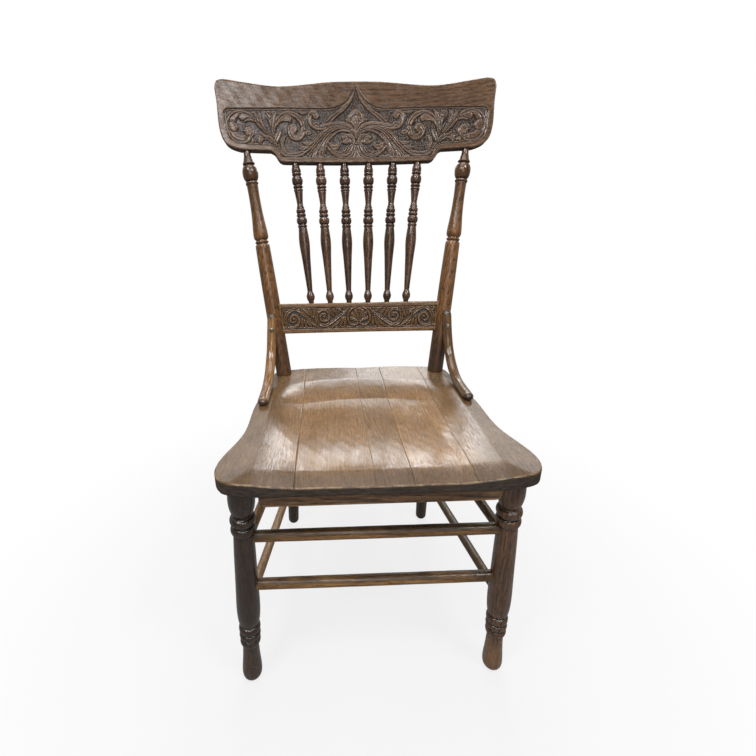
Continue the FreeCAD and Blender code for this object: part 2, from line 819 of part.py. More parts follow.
def round_head_screw(length):
    """Slotted round-head screw along Z: the head's seat at the origin, the shank pointing down."""
    dome = turned([
        (-length, 0.4 * screw_shank_r),
        (-length + 3 * screw_shank_r, screw_shank_r),
        (0, screw_shank_r),
        (0, screw_head_r),
        (screw_head_height * 0.25, screw_head_r),
        (screw_head_height, screw_head_r * 0.35, screw_head_height * 0.22),
    ])
    slot = Part.makeBox(4 * screw_head_r, screw_slot_width, screw_head_height,
                        V(-2 * screw_head_r, -0.5 * screw_slot_width, screw_head_height - screw_slot_depth))
    return dome.cut(slot)


def screw_room(seat, tip):
    """Drilled hole for a screw: counterbore for its head, then clearance round its shank."""
    along = (tip - seat).normalize()
    bore = rod(seat, tip + along * socket_end_gap, screw_shank_r + fit_clearance)
    return bore.fuse(rod(seat, seat - along * 3 * screw_head_height, screw_head_r + fit_clearance))


def drive(seat, tip):
    """One screw set from its head's seat towards its tip, and the hole that it needs."""
    along = (tip - seat).normalize()
    return stand(round_head_screw((tip - seat).Length), seat, seat - along), screw_room(seat, tip)


brace_turn = brace_place.Rotation
post_screw_on = brace_place.multVec(brace_top - up_post * post_screw_drop)
post_screw_in = brace_turn.multVec(off_post * -1.0)
post_screw_seat = post_screw_on - post_screw_in * (0.5 * brace_depth - screw_sink)
post_screw, post_hole = drive(post_screw_seat, post_screw_seat + post_screw_in * brace_screw_length)
seat_screw_on = brace_place.multVec(brace_start + V(0, seat_screw_inset, 0))
seat_screw_seat = seat_screw_on + V(0, 0, 0.5 * brace_depth - screw_sink)
seat_screw, seat_hole = drive(seat_screw_seat, seat_screw_seat - V(0, 0, brace_screw_length))
brace = brace.cut(post_hole).cut(seat_hole)
post = post.cut(post_hole)
pieces["brace_post_screws"] = Part.makeCompound([mirror(post_screw), post_screw])
pieces["brace_seat_screws"] = Part.makeCompound([mirror(seat_screw), seat_screw])
pieces["right_brace"] = brace
pieces["left_brace"] = mirror(brace)
pieces["right_back_post"] = post
pieces["left_back_post"] = mirror(post)


# Apron

apron_front_y = seat_front_y + apron_setback
apron_low = seat_underside - apron_height
apron = Part.makeBox(2 * apron_half, apron_thickness, apron_height, V(-apron_half, apron_front_y, apron_low))
lower_ends = [edge for edge in apron.Edges
              if abs(edge.CenterOfMass.z - apron_low) < fit_clearance
              and abs(abs(edge.CenterOfMass.x) - apron_half) < fit_clearance]
apron = apron.makeFillet(apron_end_round, lower_ends)
apron_screws = []
for x in (-apron_screw_spread, 0.0, apron_screw_spread):
    seat = V(x, apron_front_y + 0.5 * apron_thickness, apron_low + screw_head_height)
    screw, hole = drive(seat, seat + V(0, 0, apron_screw_length))
    apron = apron.cut(hole)
    seat_sockets.append(hole)
    apron_screws.append(screw)
pieces["front_apron"] = apron
pieces["apron_screws"] = Part.makeCompound(apron_screws)


# Seat boards: the drilled blank, sawn at its seams

for room in seat_sockets:
    blank = blank.cut(room).cut(mirror(room))
blank = blank.cut(seat_hole).cut(mirror(seat_hole))
seams = (-2 * seat_corner_half,) + seat_seams_x + (2 * seat_corner_half,)
for number, (left, right) in enumerate(zip(seams, seams[1:]), start=1):
    slab = Part.makeBox(right - left - seam_gap, 3 * (seat_back_y - seat_front_y), 2 * seat_height,
                        V(left + 0.5 * seam_gap, 2 * seat_front_y, 0))
    pieces["seat_board_%d" % number] = blank.common(slab)


# Shift to the bottom centre of the chair's box, which stands on the floor and is even about X; then write

box = FreeCAD.BoundBox()
for shape in pieces.values():
    box.add(shape.optimalBoundingBox())
shift = V(0, -box.Center.y, 0)
os.makedirs("parts", exist_ok=True)
for name, shape in sorted(pieces.items()):
    shape.translate(shift)
    shape.exportStep("parts/%s.step" % name)
    print(name, len(shape.Solids), "%.1f" % shape.Volume, shape.isValid())
print("shift", shift, "size", box.XLength, box.YLength, box.ZLength)
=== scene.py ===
import math

import bmesh
import bpy
import numpy as np
from mathutils import Matrix, Vector


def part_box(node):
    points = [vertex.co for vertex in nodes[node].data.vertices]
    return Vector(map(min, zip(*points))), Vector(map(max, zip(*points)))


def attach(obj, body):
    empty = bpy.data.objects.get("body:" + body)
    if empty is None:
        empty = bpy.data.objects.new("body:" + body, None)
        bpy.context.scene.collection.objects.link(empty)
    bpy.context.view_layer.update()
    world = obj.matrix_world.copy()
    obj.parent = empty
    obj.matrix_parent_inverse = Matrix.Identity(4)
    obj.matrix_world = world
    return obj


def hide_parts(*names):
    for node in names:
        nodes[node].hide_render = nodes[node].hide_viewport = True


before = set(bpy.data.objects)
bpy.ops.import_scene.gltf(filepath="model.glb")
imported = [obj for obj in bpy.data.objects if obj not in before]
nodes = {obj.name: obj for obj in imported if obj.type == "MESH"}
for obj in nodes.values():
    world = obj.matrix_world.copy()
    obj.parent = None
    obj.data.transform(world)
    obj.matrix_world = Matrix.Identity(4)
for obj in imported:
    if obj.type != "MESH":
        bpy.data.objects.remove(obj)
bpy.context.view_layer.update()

# A press back side chair in oak. Sizes are in millimetres, laid out from the floor point under
# the seat, front towards -Y; place() brings them to metres in the model's own frame.
MM = 0.001
SHIFT_Y = -72.8306
HANDS = ((-1.0, "left"), (1.0, "right"))

# Seat boards
SEAT_HEIGHT, SEAT_THICKNESS = 446.0, 23.5
SEAT_BOTTOM = SEAT_HEIGHT - SEAT_THICKNESS
SEAT_FRONT, SEAT_BACK = -200.0, 210.0
FRONT_CORNER, BACK_CORNER = (216.0, -186.5), (180.0, 196.0)
SEAT_HALF_OUTLINE = [
    (0.0, SEAT_FRONT), (102.5, -199.1), (186.3, -197.0), FRONT_CORNER, (228.3, -165.0), (209.1, -75.0),
    (204.0, 15.0), (190.0, 158.0), BACK_CORNER, (156.0, 206.0), (0.0, SEAT_BACK),
]
SEAT_SEAMS = [-117.0, -8.0, 44.0, 129.0]
SEAM_DEPTHS = [0.75, 0.12, 0.4, 0.25]
SEAM_GAP = 0.08
SEAT_ARRIS, ARRIS_WANDER, CHIP_SIZE = 2.2, 0.35, 2.0
SEAT_STEP, SEAT_EDGE_STEPS = 1.7, (0.0, 0.5, 1.1, 1.8, 2.7, 3.8, 5.2)

# Saddling: rear rim and bank, dish, side ridges with the wings outside them, front band
BACK_FALL, RIM_Y, RIM_BOW, BANK_RUN = 3.0, 149.0, 34.0, 76.0
DISH_DEPTH, FRONT_RISE, RISE_RUN = 11.0, 5.0, 150.0
RIDGE_HALF, SHOULDER_RUN, CORNER_HALF, WING_FALL = 174.0, 62.0, 228.3, 5.0
BAND_Y, BAND_RUN, BAND_FALL = -164.0, 40.0, 4.0
CREASE, BAND_CREASE = 0.05, 0.16

# Back: the raked plane of the posts, with the crest and the lower rail bent in plan
RAKE = math.radians(13.2)
BACK_FOOT_Y = 185.2
POST_HALF, POST_TOP_HALF, POST_R = 163.0, 222.0, 16.0
CREST_BOTTOM, CREST_BELLY, CREST_HALF = 454.0, 432.5, 276.0
CREST_BEND, CREST_THICKNESS, CREST_SUNK = 1500.0, 21.0, 2.4
RAIL_BEND, RAIL_THICKNESS, RAIL_SUNK = 1100.0, 18.0, 2.1
RAIL_LOW, RAIL_HIGH, RAIL_LET_IN = 86.0, 148.5, 3.2
SPINDLES, SPINDLE_FOOT_SHARE, SPINDLE_HEAD_SHARE = 6, 0.62, 0.455


def between_posts(rise):
    """Half the gap between the posts at a rise up the back."""
    return POST_HALF + (POST_TOP_HALF - POST_HALF) * rise / CREST_BOTTOM - POST_R


RAIL_HALF = between_posts(0.5 * (RAIL_LOW + RAIL_HIGH))


def smooth(share):
    """Eases a share from 0 to 1."""
    share = np.clip(share, 0.0, 1.0)
    return share * share * (3.0 - 2.0 * share)


def place(points):
    """Layout millimetres to metres in the model's frame."""
    return (np.asarray(points, float) + np.array([0.0, SHIFT_Y, 0.0])) * MM


def scooped(share, soft):
    """A plane slope from 0 to 1 with softened creases at top and foot, as a saddling cutter leaves it."""
    def above(s):
        return 0.5 * (s + np.sqrt(s * s + soft * soft))
    return above(share) - above(share - 1.0)


def seat_top(x, y):
    """Height of the saddled seat."""
    wing = np.maximum(np.abs(x) - RIDGE_HALF, 0.0)
    height = SEAT_HEIGHT - BACK_FALL * (y - SEAT_FRONT) / (SEAT_BACK - SEAT_FRONT)
    height = height - WING_FALL * wing / (CORNER_HALF - RIDGE_HALF)
    inside = scooped((RIDGE_HALF - np.abs(x)) / SHOULDER_RUN, CREASE)
    bank = scooped((RIM_Y - RIM_BOW * (x / RIDGE_HALF) ** 2 - y) / BANK_RUN, CREASE)
    rise = FRONT_RISE * (1.0 - smooth((y - BAND_Y) / RISE_RUN))
    past = scooped((BAND_Y - wing - y) / BAND_RUN, BAND_CREASE)
    return height - inside * bank * (DISH_DEPTH - rise) - past * (BAND_FALL + inside)


BACK_FOOT_Z = float(seat_top(POST_HALF, BACK_FOOT_Y))


def lean(x, depth, rise):
    """A point of the raked back: x, depth behind the posts' plane, rise along the rake."""
    x, depth, rise = np.broadcast_arrays(np.asarray(x, float), depth, rise)
    y = BACK_FOOT_Y + depth * math.cos(RAKE) + rise * math.sin(RAKE)
    z = BACK_FOOT_Z - depth * math.sin(RAKE) + rise * math.cos(RAKE)
    return np.stack([x, y, z], -1)


def bend(radius, flat_half, x):
    """How far a bent rail's middle line lies behind the posts' plane."""
    return np.sqrt(radius ** 2 - np.asarray(x, float) ** 2) - math.sqrt(radius ** 2 - flat_half ** 2)


# Curves and patches

def lengths(points):
    """Length of a line up to each of its points."""
    return np.concatenate([[0.0], np.cumsum(np.linalg.norm(np.diff(points, axis=0), axis=1))])


def flowing(points, step=1.0):
    """Natural cubic spline through the points, spaced by chord length."""
    p = np.asarray(points, float)
    t = lengths(p[:, :2])
    n, h = len(p), np.diff(t)
    lhs, rhs = np.eye(n), np.zeros_like(p)
    for i in range(1, n - 1):
        lhs[i, i - 1:i + 2] = h[i - 1], 2.0 * (h[i - 1] + h[i]), h[i]
        rhs[i] = 6.0 * ((p[i + 1] - p[i]) / h[i] - (p[i] - p[i - 1]) / h[i - 1])
    m = np.linalg.solve(lhs, rhs)
    s = np.linspace(0.0, t[-1], max(3, int(t[-1] / step) + 1))
    i = np.clip(np.searchsorted(t, s, "right") - 1, 0, n - 2)
    a, b, g = ((t[i + 1] - s) / h[i])[:, None], ((s - t[i]) / h[i])[:, None], h[i][:, None] ** 2 / 6.0
    return a * p[i] + b * p[i + 1] + ((a ** 3 - a) * m[i] + (b ** 3 - b) * m[i + 1]) * g


def along(curve, shares):
    """Points at shares of a curve's length."""
    run = lengths(curve)
    spots = np.asarray(shares) * run[-1]
    return np.stack([np.interp(spots, run, curve[:, k]) for k in range(curve.shape[1])], -1)


def span(curve):
    """Whole length of a curve."""
    return float(np.linalg.norm(np.diff(curve, axis=0), axis=1).sum())


def nearest(line, point):
    """Index of a line's point nearest to a point."""
    return int(np.argmin(np.linalg.norm(line - point, axis=1)))


def spaced(length, step, close):
    """Shares along a length, drawn together towards both ends for the eased arrises."""
    count = max(2, int(round((length - 2 * close[-1]) / step)) + 1)
    ends = np.array(close[:-1])
    middle = np.linspace(close[-1], length - close[-1], count)
    return np.concatenate([ends, middle, length - ends[::-1]]) / length


def patch(low, high, left, right, u, v):
    """Grid of points filling four edges."""
    b, t, l, r = along(low, u), along(high, u), along(left, v), along(right, v)
    u, v = u[None, :, None], v[:, None, None]
    corners = (1 - u) * (1 - v) * b[0] + u * (1 - v) * b[-1] + (1 - u) * v * t[0] + u * v * t[-1]
    return (1 - v) * b[None] + v * t[None] + (1 - u) * l[:, None] + u * r[:, None] - corners


def edge_loop(grid):
    """A grid's outermost entries, once round."""
    return np.concatenate([grid[0, :], grid[1:, -1], grid[-1, -2::-1], grid[-2:0:-1, 0]])


CHUNK = 3000  # points measured at a time


def distance(points, line):
    """Distance of each point to the nearest point of a line."""
    flat = points.reshape(-1, 2)
    found = np.empty(len(flat))
    for k in range(0, len(flat), CHUNK):
        part = flat[k:k + CHUNK]
        found[k:k + CHUNK] = np.sqrt(((part[:, None] - line[None]) ** 2).sum(-1).min(1))
    return found.reshape(points.shape[:-1])


def ripple(x, y, seed):
    """A calm, uneven waviness between -1 and 1, as hand tools leave it."""
    return (np.sin(0.061 * x + 0.043 * y + seed) + np.sin(0.137 * x - 0.091 * y + 1.7 * seed)
            + 0.6 * np.sin(0.29 * x + 0.21 * y + 2.3 * seed)) / 2.6


def eased(gap, ease):
    """How far a rounded arris has fallen at a gap from the edge."""
    return np.where(gap < ease, ease - np.sqrt(np.maximum(ease ** 2 - (ease - gap) ** 2, 0.0)), 0.0)


# Meshes

def add_object(name, data):
    """A new object in the scene."""
    thing = bpy.data.objects.new(name, data)
    bpy.context.scene.collection.objects.link(thing)
    return thing


def set_marks(mesh, marks):
    """Keeps a number or a vector for each point of a mesh, by name."""
    for key, values in marks.items():
        values = np.asarray(values, np.float32)
        vectors = values.ndim == 2
        layer = mesh.attributes.new(key, "FLOAT_VECTOR" if vectors else "FLOAT", "POINT")
        layer.data.foreach_set("vector" if vectors else "value", values.ravel())


def finish_mesh(name, verts, faces, marks):
    """A closed, smooth mesh object at the origin from layout millimetres."""
    mesh = bpy.data.meshes.new(name)
    mesh.from_pydata([tuple(v) for v in place(verts)], [], faces)
    set_marks(mesh, marks)
    work = bmesh.new()
    work.from_mesh(mesh)
    bmesh.ops.recalc_face_normals(work, faces=work.faces)
    work.to_mesh(mesh)
    work.free()
    mesh.shade_smooth()
    return add_object(name, mesh)


def as_faces(*corners):
    """Faces as tuples, from one array of point numbers for each corner."""
    return [tuple(face) for face in np.stack(corners, -1).reshape(-1, len(corners)).tolist()]


def slab(name, face, rings, back, inset, stride, marks):
    """Closed board: a fine face, rings of points down its edge, and a coarser back."""
    m, n = face.shape[:2]
    ids = np.arange(m * n).reshape(m, n)
    verts = [face.reshape(-1, 3)]
    faces = as_faces(ids[:-1, :-1], ids[:-1, 1:], ids[1:, 1:], ids[1:, :-1])
    loop, total = edge_loop(ids), m * n
    for ring in rings:
        fresh = np.arange(total, total + len(ring))
        faces += as_faces(loop, fresh, np.roll(fresh, -1), np.roll(loop, -1))
        verts.append(ring)
        loop, total = fresh, total + len(ring)
    rows = np.unique(np.append(np.arange(inset, m - inset, stride), m - 1 - inset))
    cols = np.unique(np.append(np.arange(inset, n - inset, stride), n - 1 - inset))
    verts.append(back[np.ix_(rows, cols)].reshape(-1, 3))
    far = np.arange(total, total + len(rows) * len(cols)).reshape(len(rows), len(cols))
    faces += as_faces(far[:-1, :-1], far[1:, :-1], far[1:, 1:], far[:-1, 1:])
    # The last ring is joined to the coarser back by faces with many corners.
    stops = np.concatenate([cols, (n - 1) + rows, (n - 1) + (m - 1) + (n - 1 - cols[::-1]),
                            2 * (n - 1) + (m - 1) + (m - 1 - rows[::-1])])
    rim = np.concatenate([far[0, :], far[:, -1], far[-1, ::-1], far[::-1, 0]])
    for k in range(len(stops)):
        a, b = int(stops[k]), int(stops[(k + 1) % len(stops)])
        b = b + len(loop) if b < a else b
        outer = [int(loop[s % len(loop)]) for s in range(a, b + 1)]
        inner = [int(rim[(k + 1) % len(rim)]), int(rim[k])]
        inner = inner[:1] if inner[0] == inner[1] else inner
        faces.append(tuple(outer + inner))
    verts = np.vstack(verts)
    full = {}
    for key, values in marks.items():
        column = np.full(len(verts), 1.0 if key == "wall" else 0.0)
        column[:m * n] = values.ravel()
        full[key] = column
    return finish_mesh(name, verts, faces, full)


# Seat boards

def seat_boards():
    """Five edge-glued boards, each saddled on top, eased along the edge and along its seams."""
    right = np.array(SEAT_HALF_OUTLINE)
    line = flowing(np.vstack([right[:0:-1] * [-1, 1], right]), 0.5)
    half = line[len(line) // 2:]
    half[0, 0] = 0.0
    outline = np.vstack([half, half[::-1] * [-1, 1]])
    front_end, back_end = nearest(half, FRONT_CORNER), nearest(half, BACK_CORNER)
    front, side, rear = half[:front_end + 1], half[front_end:back_end + 1], half[back_end:][::-1]

    def between(curve, a, b):
        curve = np.vstack([curve[:0:-1] * [-1, 1], curve])
        keep = curve[(curve[:, 0] > a) & (curve[:, 0] < b)]
        ends = [np.array([[x, np.interp(x, curve[:, 0], curve[:, 1])]]) for x in (a, b)]
        return np.vstack([ends[0], keep, ends[1]])

    reach_front, reach_rear = front[-1, 0], rear[-1, 0]
    stops = [None] + SEAT_SEAMS + [None]
    made = []
    for k, (start, stop) in enumerate(zip(stops[:-1], stops[1:])):
        a = -reach_front if start is None else start + 0.5 * SEAM_GAP
        b = reach_front if stop is None else stop - 0.5 * SEAM_GAP
        low = between(front, a, b)
        high = between(rear, -reach_rear if start is None else a, reach_rear if stop is None else b)
        left = side * [-1, 1] if start is None else np.array([low[0], high[0]])
        edge = side if stop is None else np.array([low[-1], high[-1]])
        u = spaced(max(span(low), span(high)), SEAT_STEP, SEAT_EDGE_STEPS)
        v = spaced(max(span(left), span(edge)), SEAT_STEP, SEAT_EDGE_STEPS)
        grid = patch(low, high, left, edge, u, v)
        x, y = grid[..., 0], grid[..., 1]
        d = distance(grid, outline)
        chips = np.maximum(ripple(9.0 * x, 7.0 * y, 2.1) - 0.5, 0.0)
        drop = eased(d, SEAT_ARRIS + ARRIS_WANDER * ripple(3.0 * x, 3.0 * y, 0.6) + CHIP_SIZE * chips)
        for seam, deep in zip(SEAT_SEAMS, SEAM_DEPTHS):
            drop += deep * np.exp(-(np.abs(x - seam) / (0.35 + 0.4 * deep)) ** 1.5)
        top = seat_top(x, y) - drop + 0.12 * ripple(x, y, k)
        face = np.stack([x, y, top], -1)
        back = np.stack([x, y, np.full_like(x, SEAT_BOTTOM)], -1)
        rim, loop = edge_loop(top), edge_loop(grid)
        rings = [np.column_stack([loop, rim + (SEAT_BOTTOM + 2.6 - rim) * s]) for s in (0.12, 0.35, 0.7, 1.0)]
        rings.append(np.column_stack([loop, np.full(len(rim), SEAT_BOTTOM + 1.2)]))
        inside = smooth((RIDGE_HALF - np.abs(x)) / 40.0)
        inside = inside * smooth((150.0 - 24.0 * (x / RIDGE_HALF) ** 2 - y) / 60.0)
        marks = {"dish": inside * smooth((y + 188.0) / 40.0),
                 "edge": np.clip(1.0 - np.abs(d - 1.4) / 3.0, 0.0, 1.0),
                 "wall": np.clip(1.0 - d / 0.9, 0.0, 1.0)}
        made.append(slab("seat_board_%d_saddled" % (k + 1), face, rings, back, 4, 3, marks))
    return made


# Pressed ornament: strokes on one half of a rail, mirrored across the middle. Each is a section,
# a height, and points of (distance from the middle, rise up the back, half width).
CREST_ORNAMENT = [
    ("band", 2.2, [(1, 578, 0.7), (5.5, 563.5, 2), (12.5, 550.5, 2.9), (22, 539.5, 3.3), (32.5, 530.5, 3.4),
                   (40, 525, 3.2)]),
    ("bead", 2.1, [(37.5, 529, 1.4), (51, 519.5, 2), (66, 504.5, 1)]),
    ("bead", 2, [(35, 526, 1.4), (45.5, 517.5, 2), (57, 506, 1)]),
    ("flat", 2.1, [(0, 511, 8), (0, 518.5, 13), (0, 522.5, 10.2), (0, 526.5, 7), (0, 531, 3.4),
                   (0, 535, 0.4)]),
    ("flat", 2.1, [(0, 497.5, 3), (7, 506, 5.6), (14.5, 511.5, 4.8), (22.5, 515, 0.9)]),
    ("flat", 1.9, [(2, 497, 1.4), (13, 504.5, 3), (25.5, 509, 1)]),
    ("flat", 2, [(0.5, 489.5, 3), (0.5, 499, 6.5), (0, 512.5, 9)]),
    ("vein", 0.9, [(0.5, 497, 0.9), (0, 527.5, 0.7)]),
    ("vein", 0.9, [(2, 499, 0.9), (5, 507, 0.9), (10, 515.5, 0.7)]),
    ("vein", 0.9, [(3, 498.5, 0.9), (10.5, 506.5, 0.9), (20.5, 513, 0.7)]),
    ("band", 2.5, [(0.5, 479.5, 2.2), (4.5, 490.5, 4), (13.5, 498, 6.2), (25.5, 502.5, 7.2), (39.5, 504, 6.8),
                   (53.5, 503, 5.8), (67.5, 500.5, 5), (79, 500, 4.6), (88, 504, 4.4), (93.5, 512, 4.2),
                   (94, 520.5, 4), (90.5, 526.5, 4), (84.5, 527, 4.6), (81, 522, 6)]),
    ("vein", 0.9, [(10.5, 496.5, 0.8), (25.5, 503, 1.1), (39.5, 504.5, 1.1), (57, 501.5, 1), (75.5, 499.5, 1),
                   (86, 502.5, 1), (92, 511.5, 1), (92.5, 520, 1), (89, 525, 1), (83, 526, 0.8)]),
    ("bead", 2.3, [(74, 503.5, 1.6), (77, 507.5, 2.2), (81.5, 508.5, 2.2), (85, 505.5, 1.2)]),
    ("bead", 2.3, [(7, 487, 1.2), (14.5, 492, 1.7), (25.5, 494, 2), (37, 492, 2.1), (47.5, 485, 2.2),
                   (57, 475, 2.2), (62.5, 465.5, 2), (66, 455, 1.8), (64.5, 446.5, 2), (59, 442.5, 2.6),
                   (54, 444, 2)]),
    ("flat", 1.3, [(50, 491.5, 1.5), (61.5, 477, 6), (72, 463, 11), (78.5, 454.5, 12.5)]),
    ("leaf", 1.9, [(52.5, 488.5, 1.3), (62.5, 476, 2.2), (69.5, 461.5, 3.6), (72, 450.5, 5),
                   (72.5, 443.5, 5.2)]),
    ("leaf", 1.9, [(56, 489.5, 1.3), (67.5, 477, 2.2), (77, 463.5, 3.6), (84, 451, 5), (86, 443.5, 5.2)]),
    ("leaf", 1.9, [(59.5, 490.5, 1.3), (72, 478, 2), (83.5, 464.5, 3), (91.5, 453, 3.8), (97, 445, 4.2)]),
    ("bead", 2.6, [(43, 499, 1.2), (57, 492.5, 1.7), (69.5, 481, 1.8), (81.5, 467.5, 1.8), (91.5, 455.5, 1.8),
                   (101.5, 444.5, 1.2)]),
    ("bead", 2.3, [(38.5, 497.5, 1.1), (52.5, 491, 1.5), (64, 480, 1.6), (72, 467, 1.5), (78, 456, 0.8)]),
    ("band", 2.4, [(61.5, 465, 0.9), (53.5, 457.5, 3.4), (44, 451, 4.6), (32.5, 447.5, 5.4),
                   (20.5, 449.5, 5.6), (10.5, 456, 5.2), (7, 466, 4.6), (8, 476, 4.8), (13.5, 481.5, 6.4),
                   (18, 478, 9)]),
    ("vein", 0.8, [(52, 458.5, 0.7), (42.5, 452.5, 1), (32.5, 449.5, 1), (21.5, 451, 1), (12.5, 457.5, 1),
                   (9, 466.5, 1), (11, 476, 1), (15.5, 481, 0.7)]),
    ("flat", 2.2, [(22, 478, 5), (26.5, 481, 3.4)]),
    ("flat", 2.2, [(20, 473.5, 5), (26, 472, 3.2)]),
    ("bead", 2.2, [(19, 464, 1.2), (22.5, 457, 1.7), (29.5, 452.5, 1)]),
    ("bead", 2, [(16, 462, 1), (18.5, 455, 1.4), (24.5, 450.5, 0.8)]),
    ("flat", 2.1, [(36.5, 472, 1.2), (39, 464.5, 4.2), (45, 461.5, 4.8), (51, 464.5, 4.2), (56.5, 471, 1.2)]),
    ("vein", 0.8, [(40, 463.5, 0.8), (45.5, 463, 1), (51, 466, 0.8)]),
    ("flat", 1.9, [(0, 469.5, 1.6), (0, 458.5, 3.6), (0.5, 449.5, 7.2), (0.5, 444, 9.6)]),
    ("bead", 2.3, [(2.5, 464.5, 1.1), (6.5, 452, 1.9), (14, 443.5, 2.2), (24.5, 441, 1)]),
    ("vein", 0.8, [(0, 465, 0.8), (0, 439.5, 1)]),
    ("double", 2.5, [(57, 497, 1.4), (67.5, 490.5, 2.4), (78, 480, 3.2), (89.5, 467.5, 3.9),
                     (100.5, 458, 4.3), (113, 449.5, 4.5), (134, 446, 4.5), (144, 447.5, 4.3),
                     (153, 453.5, 4), (165, 467, 2.6)]),
    ("bead", 1.9, [(101.5, 443.5, 0.9), (112.5, 440, 1.6), (126.5, 439.5, 1.6), (140.5, 441.5, 0.8)]),
    ("leaf", 2, [(88.5, 472, 1.4), (97.5, 468.5, 3.8), (107.5, 470.5, 1)]),
    ("leaf", 1.9, [(96.5, 463.5, 1.4), (106.5, 460, 3.8), (116.5, 459, 1)]),
    ("double", 2.5, [(167, 481, 2.4), (165.5, 493.5, 3.2), (162, 505, 3.8), (155, 515, 4.2),
                     (145.5, 522.5, 4.4), (135, 525.5, 4.4), (124, 523, 4.4), (115, 516.5, 4.6),
                     (109, 506, 4.6), (107, 495.5, 4.4)]),
    ("band", 2.4, [(107, 496.5, 4.4), (110, 486, 4.8), (117, 479.5, 5), (125.5, 480, 5.2), (132, 486, 5.4),
                   (132.5, 493.5, 6), (127.5, 496.5, 8.2)]),
    ("vein", 0.8, [(126.5, 478.5, 0.8), (132.5, 485, 0.9), (134.5, 493, 0.9), (130.5, 499.5, 0.7)]),
    ("flat", 2.1, [(159.5, 502, 1.4), (152.5, 511.5, 3.2), (143, 515.5, 5), (134.5, 515, 4.4),
                   (133.5, 509.5, 1.4)]),
    ("leaf", 2, [(102.5, 490, 2.2), (96.5, 489.5, 3.6), (91.5, 489, 1)]),
    ("bead", 1.9, [(97.5, 490, 1.8), (99, 494.5, 1)]),
    ("leaf", 1.9, [(115.5, 529, 1), (107, 527, 2.8), (98, 528, 1)]),
    ("band", 2.5, [(198.5, 506, 2), (206.5, 513.5, 3.2), (215.5, 520, 4.4), (225.5, 522, 4.8),
                   (234.5, 521, 5.2), (242.5, 515.5, 6.6), (248, 507, 7.6), (250.5, 497.5, 7.8),
                   (249, 487.5, 7.4), (244, 479, 7.6), (236.5, 474, 7.6), (228, 472.5, 7.2),
                   (219.5, 474.5, 6.6), (213.5, 480.5, 6), (211.5, 487.5, 5.6), (215, 492.5, 5.4),
                   (219.5, 493, 5.6)]),
    ("vein", 0.9, [(219.5, 522, 0.7), (230.5, 523.5, 0.9), (241, 519.5, 1), (249, 509.5, 1),
                   (252.5, 497.5, 1), (251, 485.5, 1), (245, 475.5, 1), (236.5, 470.5, 1), (227, 469.5, 1),
                   (218.5, 472.5, 0.7)]),
    ("flat", 2.3, [(247, 501, 5), (243, 495, 7.4)]),
    ("flat", 2.2, [(210.5, 514, 2.6), (219, 515, 4.6), (226, 514, 5.4)]),
    ("bead", 2.4, [(198, 505.5, 1.5), (205.5, 509, 2), (214.5, 510, 2.2), (221.5, 507, 1.4)]),
    ("bead", 2.7, [(225.5, 489.5, 1.2), (221, 487.5, 2), (218, 481.5, 1.9), (220.5, 476.5, 0.9)]),
    ("dome", 2.2, [(216, 488, 7.4)]),
    ("dome", 1.9, [(206.5, 471, 3.8)]),
    ("bead", 1.8, [(208, 475.5, 1), (206.5, 470.5, 2.2), (211.5, 468.5, 1)]),
    ("bead", 2.5, [(170, 479, 1.2), (181.5, 488.5, 2.3), (192.5, 498.5, 2.6), (201, 508, 2.2)]),
    ("leaf", 2.1, [(170.5, 480.5, 0.8), (181, 493, 1.5), (190, 505.5, 2.6), (197.5, 515.5, 3.6),
                   (203.5, 525, 1.2)]),
    ("leaf", 2.1, [(170, 481, 0.8), (179, 491, 1.4), (187, 501, 2.1), (191.5, 513.5, 2.7),
                   (192.5, 525.5, 2.2)]),
    ("flat", 2.1, [(169, 481, 0.9), (169.5, 497.5, 2.2), (172, 510.5, 3.8), (174.5, 519.5, 5.6),
                   (175.5, 523.5, 4.8)]),
    ("flat", 2, [(173.5, 517.5, 3), (180.5, 525.5, 0.9)]),
    ("flat", 2, [(168, 481, 0.9), (167, 497.5, 1.8), (165, 510.5, 2.5), (162, 520.5, 3.4),
                 (160.5, 524.5, 2.6)]),
    ("vein", 0.8, [(169, 493.5, 0.7), (171.5, 510.5, 1), (173.5, 520.5, 0.8)]),
    ("flat", 2.2, [(164.5, 466.5, 2), (171, 474.5, 4.2), (179, 478.5, 4.6), (187.5, 479, 5.2),
                   (193.5, 476, 4.4)]),
    ("flat", 2.1, [(178.5, 478, 3), (185.5, 482.5, 2.8), (191, 485, 1.2)]),
    ("flat", 2.1, [(190, 476, 4.2), (194, 471, 3.4), (192.5, 467, 1)]),
    ("vein", 0.9, [(167, 469, 0.8), (174.5, 475.5, 1.1), (182.5, 478, 1.1), (191, 477, 0.8)]),
    ("leaf", 2.1, [(164, 468, 2.4), (160, 476.5, 4.4), (156.5, 484.5, 4.8), (153, 491.5, 0.9)]),
    ("bead", 2.3, [(163, 469, 1.2), (159, 462, 1.7), (153, 456, 1)]),
    ("leaf", 2.1, [(141, 450.5, 1.6), (148, 459, 3), (150, 469, 3.6), (148, 477, 3.4), (143.5, 481, 0.9)]),
]
